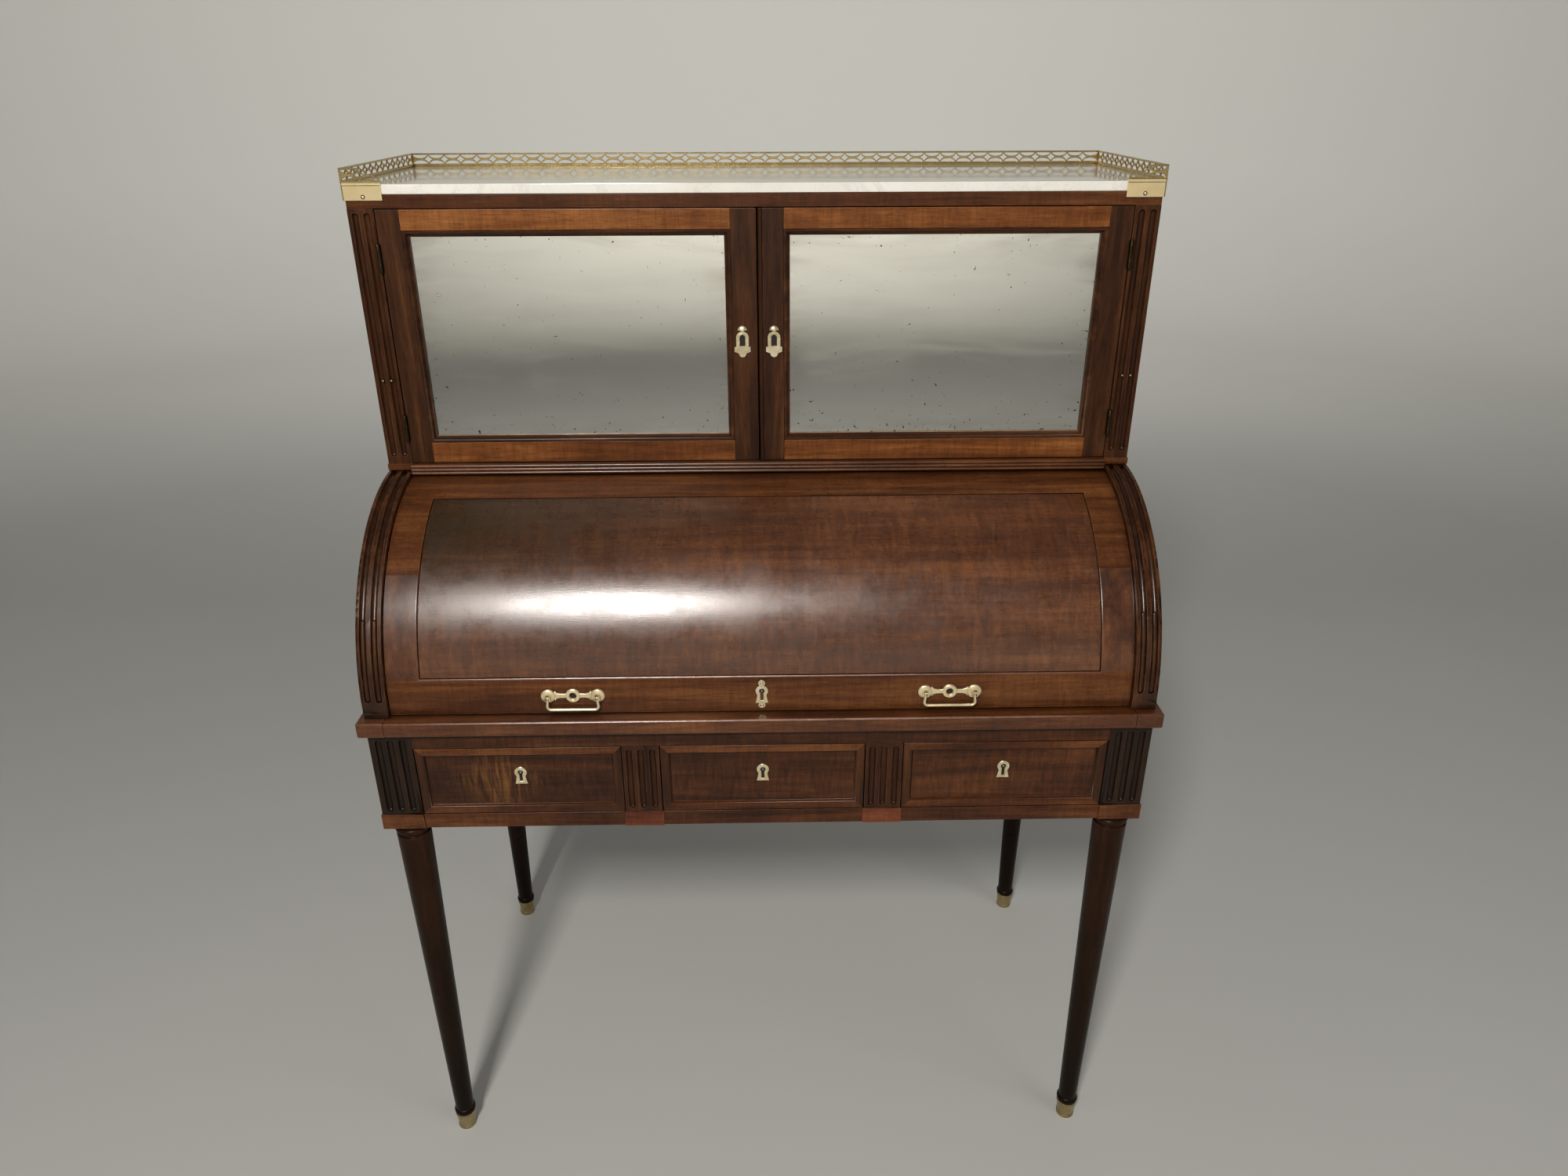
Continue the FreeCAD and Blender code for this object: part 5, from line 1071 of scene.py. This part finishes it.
def build_door(name):
    """One door without its hinge leaves and back."""
    side = SIDES[name]
    front = gradin_front
    low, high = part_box(name + "_door_frame")
    glass_low, glass_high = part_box(name + "_mirror")
    inner = sorted((abs(glass_low.x), abs(glass_high.x)))
    outer = max(abs(low.x), abs(high.x))
    door = Piece()
    for x0, x1, z0, z1, paint, pocket in (
            (MEETING_GAP, inner[0], low.z, high.z, 0, (-side, *bolt_way, BOLT_POCKET)),
            (inner[1], outer, low.z, high.z, 0, None),
            (*inner, low.z, glass_low.z, 1, None),
            (*inner, glass_high.z, high.z, 1, None)):
        x_low, x_high = sorted((side * x0, side * x1))
        door.box((x_low, front, z0), (x_high, high.y, z1), paint, 0.9 * MM, pocket)
    # The sight moulding's lower ledge carries a painted highlight in light wood
    moulded(door, glass_low, glass_high, front, SIGHT_PROFILE, (2, 2), ledge=3)
    if side > 0:
        bead_x = MEETING_GAP + MEETING_BEAD
        door.tube([(bead_x, front, low.z), (bead_x, front, high.z)], MEETING_BEAD)
    door.done(name + "_door_frame", [stile_wood, door_rail_wood, bead_wood, ledge_highlight_wood], "mahogany")

    glass = Piece()
    glass.copy(name + "_mirror", ease=0.4 * MM)
    silver = mirror(name + "_mirror_glass", glass_low, glass_high, 5.0 + 9.0 * side)
    glass.done(name + "_mirror", [silver], "mirror")

    plate = Piece()
    x, z, face = side * door_key_x, door_key_z, front - PLATE
    opening, opening_low = 3.6 * MM, -8.4 * MM
    arch = arc(0, LOOP_RISE, opening, 0, 180, 16)
    hole = arch + [(-opening, opening_low), (opening, opening_low)]
    plate.plate([loop_outline(), hole], standing(x, front - PLATE / 2, z), PLATE, 0.35 * MM)
    # Dark sheet of painted shade behind the keyhole
    plate.plate([[(1.25 * u, 1.1 * v) for u, v in hole]], standing(x, front - 0.06 * MM, z), SHADE_SHEET,
                SHADE_SHEET_BEVEL, 1)
    rim = [(x + u, face, z + v) for u, v in arc(0, LOOP_RISE, 1.55 * opening, 0, 180, 16)]
    plate.tube(rim, 0.5 * MM, sides=10)
    button, button_rise = 5.6 * MM, 11.6 * MM
    half_disc = arc(0, 0, button, 3, 177, 16)
    plate.skin([[(x + size * u, face - rise * MM, z + button_rise + size * v) for u, v in half_disc]
                for size, rise in ((1.0, 0.0), (0.86, 0.9), (0.5, 1.5), (0.1, 1.7))])
    node = "right_door_lock" if side > 0 else "left_door_escutcheon"
    plate.done(node, [gilt, hole_shade], "brass", name + "_door_escutcheon_finish")


for name in SIDES:
    build_door(name)

LOCK_DEPTH = 11.0 * MM
LOCK_HALF = 30.0 * MM
lock_low, lock_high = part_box("right_door_lock")
case_low = Vector((lock_low.x - 0.15 * MM, lock_high.y - LOCK_DEPTH, door_key_z - LOCK_HALF))
case_high = Vector((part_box("right_mirror")[0].x - 0.5 * MM, lock_high.y + 0.2 * MM, door_key_z + LOCK_HALF))
lock = Piece()
lock.box(case_low, case_high, 0, 0.4 * MM, (-1, *bolt_way, bolt_high.x - case_low.x + MM))
lock.done("right_door_lock", [lock_steel], "steel", "right_door_lock_case")


# Marble slab
slab = Piece()
slab.box(*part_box("marble_top"), 0, 1.2 * MM)
slab.done("marble_top", [stone], "marble")


# Gallery: a plain band, pierced strips above it and short returns at the front
gallery_low, gallery_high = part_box("gallery")
BAND = 2.0 * MM
STRIP = 0.8 * BAND
STRIP_HEIGHT = 16.4 * MM
RAIL = 2.2 * MM
RAIL_SECTION = mm((-1.3, -1.2), (-1.5, -0.5), (-1.2, 0), (1.2, 0), (1.5, -0.5), (1.3, -1.2))
WIRE = 1.6 * MM
PITCH = 23.0 * MM
CROWN = 5.9 * MM
FOOT = 1.0 * MM
BOW = 0.42
SWEEP_LAP = 0.3 * MM
RETURN = 46.0 * MM
BAND_EASE = 0.35 * MM
GROOVE = mm((0.35, 0, 0.8, 0.25), (0.1, -0.6, 0, 0.05))
GROOVE_INSET = 0.3 * MM
PIN_SEAT = mm((2.6, -0.5), (2.6, 0.1), (0.2, 0.12))
PIN_HEAD = mm((1.7, 0), (1.6, 0.4), (1.1, 0.8), (0.2, 0.95))


def strip_holes(first, pitch, count, last_open=False):
    """Holes of the pierced pattern: arches below, hanging arches above and lozenges between."""
    middle = STRIP_HEIGHT / 2
    half = pitch / 2 - WIRE
    rise = middle - RAIL - WIRE
    wide = pitch / 2 - CROWN
    tall = middle - RAIL - FOOT
    corners = [(-wide, 0.0), (0.0, tall), (wide, 0.0), (0.0, -tall)]
    holes = []
    for i in range(count):
        u = first + (i + 0.5) * pitch
        holes.append(arc(u, RAIL, half, 0, 180, 12, rise))
        if not last_open or i + 1 < count:
            holes.append(arc(u, STRIP_HEIGHT - RAIL, half, 0, 180, 12, -rise))
        if i + 1 < count:
            edge = u + pitch / 2
            lozenge = []
            for (a, b), (c, d) in zip(corners, corners[1:] + corners[:1]):
                lozenge += bowed((edge + a, middle + b), (edge + BOW * (a + c), middle + BOW * (b + d)),
                                 (edge + c, middle + d))
            holes.append(lozenge)
    return holes


def full_strip(length):
    """Outlines of a strip with square ends."""
    count = int((length - WIRE) // PITCH)
    rim = [(0.0, 0.0), (length, 0.0), (length, STRIP_HEIGHT), (0.0, STRIP_HEIGHT)]
    return [rim] + strip_holes(WIRE / 2, (length - WIRE) / count, count)


def return_strip(length):
    """Outlines of a front return: one arch longer below than above, with a swept end."""
    count = 2
    pitch = (length - WIRE) / count
    middle = STRIP_HEIGHT / 2
    end = length - pitch / 2 - WIRE / 2
    rim = [(0.0, 0.0), (length, 0.0), *arc(end, RAIL, pitch / 2, 0, 90, 9, middle - RAIL + SWEEP_LAP),
           *arc(end, STRIP_HEIGHT, pitch / 2, 260, 190, 7, middle - SWEEP_LAP),
           (end - pitch / 2 + WIRE, STRIP_HEIGHT), (0.0, STRIP_HEIGHT)]
    return [rim] + strip_holes(WIRE / 2, pitch, count, last_open=True)


def build_gallery():
    """Band, pierced strips and rolled rails, with a groove and a pin on each corner plate."""
    piece = Piece()
    base, top = gallery_low.z, gallery_high.z
    strip_z = top - STRIP_HEIGHT
    x_out, y_back = gallery_high.x, gallery_high.y
    y_front = gallery_low.y + FOOT
    inner = x_out - BAND - RETURN
    side_x, middle_y, front_y = x_out - BAND / 2, y_back - BAND / 2, y_front + BAND / 2
    swept = inner + (RETURN + BAND - WIRE) / 2 + WIRE
    rail_low = strip_z + 1.0 * MM

    def rail(first, last, z):
        """Rolled rail between two places in plan at a height."""
        ends = [Vector((*place, z)) for place in (first, last)]
        across = (ends[1] - ends[0]).normalized().cross(Vector((0, 0, 1)))
        piece.skin([[end + across * u + Vector((0, 0, v)) for u, v in RAIL_SECTION] for end in ends])

    piece.box((-x_out, y_back - BAND, base), (x_out, y_back, strip_z), 0, BAND_EASE)
    piece.plate(full_strip(2 * x_out), standing(-x_out, middle_y, strip_z), STRIP, BAND_EASE)
    for z in (top, rail_low):
        rail((-side_x, middle_y), (side_x, middle_y), z)
    for side in (-1, 1):
        x = side * side_x
        for z, end in ((top, swept), (rail_low, inner + 0.4 * MM)):
            rail((x, front_y), (x, middle_y), z)
            rail((x, front_y), (side * end, front_y), z)
        piece.plate(full_strip(y_back - y_front), standing(x, y_front, strip_z, 90), STRIP, BAND_EASE)
        corner = standing(side * x_out, front_y, strip_z, 180 if side > 0 else 0)
        piece.plate(return_strip(RETURN + BAND), corner, STRIP, BAND_EASE)
        for x_inner, y_end, paint in ((x_out - BAND, y_back, 0), (inner, y_front + BAND, 1)):
            x_low, x_high = sorted((side * x_inner, side * x_out))
            piece.box((x_low, y_front, base), (x_high, y_end, strip_z), paint, BAND_EASE)
        groove_z = strip_z - 3.4 * MM
        # The groove's inner box is painted shade
        for paint, (ahead, below, above, ease) in zip((1, 2), GROOVE):
            piece.box((x_low + GROOVE_INSET, y_front - ahead, groove_z + below),
                      (x_high - GROOVE_INSET, y_front + MM, groove_z + above), paint, ease)
        pin = (side * (x_out - BAND - RETURN / 2), y_front, base + 4.2 * MM)
        # The pin's seat is painted shade round its head
        piece.lathe(PIN_SEAT, pin, 2, "y", 20)
        piece.lathe(PIN_HEAD, pin, 1, "y", 20)
    piece.done("gallery", [gallery_brass, plate_brass, hole_shade], "brass")


build_gallery()


# Floor and backdrop in one swept sheet
def build_stage():
    """Pale floor that sweeps up into a pale backdrop all round."""
    p = Paint("studio_pale")
    radius, sweep, height = 8.0, 2.0, 4.6
    distance = p.add("VectorMath", {0: p.place}, operation="LENGTH").outputs["Value"]
    tone = p.total((p.span(distance, 3.5, radius), 0.9), (p.noise(1.2, 3.0, 0.5), 0.1))
    colour = p.ramp(tone, (0.05, (0.44, 0.44, 0.425)), (0.9, (0.78, 0.78, 0.745)))
    p.set(Base_Color=colour, Roughness=0.7)
    profile = [(1.0, 0.0), (3.0, 0.0), (radius - sweep, 0.0)]
    profile += arc(radius - sweep, sweep, sweep, -84, 0, 14) + [(radius, height)]
    sheet = Piece()
    sheet.lathe(profile, (0.0, 0.0, 0.0), segments=96, caps=(True, False))
    sheet.made("studio_floor", [p.material])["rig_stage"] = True


build_stage()


# Light
def area_light(name, place, target, size, energy, colour, glossy=False, beam=180.0):
    """Soft rectangular lamp aimed at a point, with its beam narrowed to some degrees."""
    lamp = bpy.data.lights.new(name, "AREA")
    lamp.shape = "RECTANGLE"
    lamp.size, lamp.size_y = size
    lamp.energy = energy
    lamp.spread = math.radians(beam)
    lamp.color = colour
    obj = bpy.data.objects.new(name, lamp)
    obj.location = place
    obj.rotation_euler = (Vector(target) - Vector(place)).to_track_quat("-Z", "Y").to_euler()
    obj.visible_glossy = glossy
    scene.collection.objects.link(obj)


area_light("key", (-0.62, -2.55, 2.85), (0.0, 0.0, 0.8), (0.42, 0.45), 95.0, (1.0, 0.96, 0.91), True)
area_light("room", (0.0, -3.6, 3.3), (0.0, -7.8, 0.5), (5.0, 0.6), 42.0, (1.0, 0.96, 0.88), beam=62.0)
area_light("wall", (0.0, 3.2, 3.2), (0.0, 7.5, 1.2), (5.0, 0.8), 90.0, (1.0, 0.98, 0.93))
area_light("fill", (2.6, -2.2, 2.2), (0.0, 0.0, 0.7), (2.0, 2.0), 22.0, (1.0, 0.98, 0.95))

# World light, paler where the camera sees it and dimmer in reflections
WORLD_STRENGTH = 0.24
world = bpy.data.worlds.new("studio")
scene.world = world
world.use_nodes = True
nodes = world.node_tree.nodes
links = world.node_tree.links
soft = nodes["Background"]
soft.inputs["Color"].default_value = (1.0, 0.98, 0.95, 1.0)
rays = nodes.new("ShaderNodeLightPath")
strength = soft.inputs["Strength"]
for ray, change in (("Is Camera Ray", 0.17), ("Is Glossy Ray", -0.13)):
    step = nodes.new("ShaderNodeMath")
    step.operation = "MULTIPLY_ADD"
    step.inputs[1].default_value = change
    step.inputs[2].default_value = WORLD_STRENGTH
    links.new(rays.outputs[ray], step.inputs[0])
    links.new(step.outputs[0], strength)
    strength = step.inputs[2]

# Camera at the photograph's place: angles in radians, focal length in pixels of the photograph
CAMERA_PLACE = Vector((0.00781, -1.43049, 1.49297))
YAW, PITCH_DOWN, ROLL = 0.0175835, -0.4393148, 0.0031132
FOCAL_PIXELS = 1371.11
PHOTO_WIDTH = 2000.0
SENSOR_WIDTH = 36.0
forward = Vector((math.sin(YAW) * math.cos(PITCH_DOWN), math.cos(YAW) * math.cos(PITCH_DOWN),
                  math.sin(PITCH_DOWN)))
level_right = Vector((math.cos(YAW), -math.sin(YAW), 0.0))
level_down = forward.cross(level_right)
right = level_right * math.cos(ROLL) + level_down * math.sin(ROLL)
up = level_right * math.sin(ROLL) - level_down * math.cos(ROLL)
lens = bpy.data.cameras.new("camera")
lens.sensor_width = SENSOR_WIDTH
lens.lens = FOCAL_PIXELS * SENSOR_WIDTH / PHOTO_WIDTH
camera = bpy.data.objects.new("camera", lens)
camera.matrix_world = Matrix.Translation(CAMERA_PLACE) @ Matrix((right, up, -forward)).transposed().to_4x4()
scene.collection.objects.link(camera)
bpy.context.scene.camera = camera
bpy.context.scene.view_settings.view_transform = "Standard"

low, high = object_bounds()
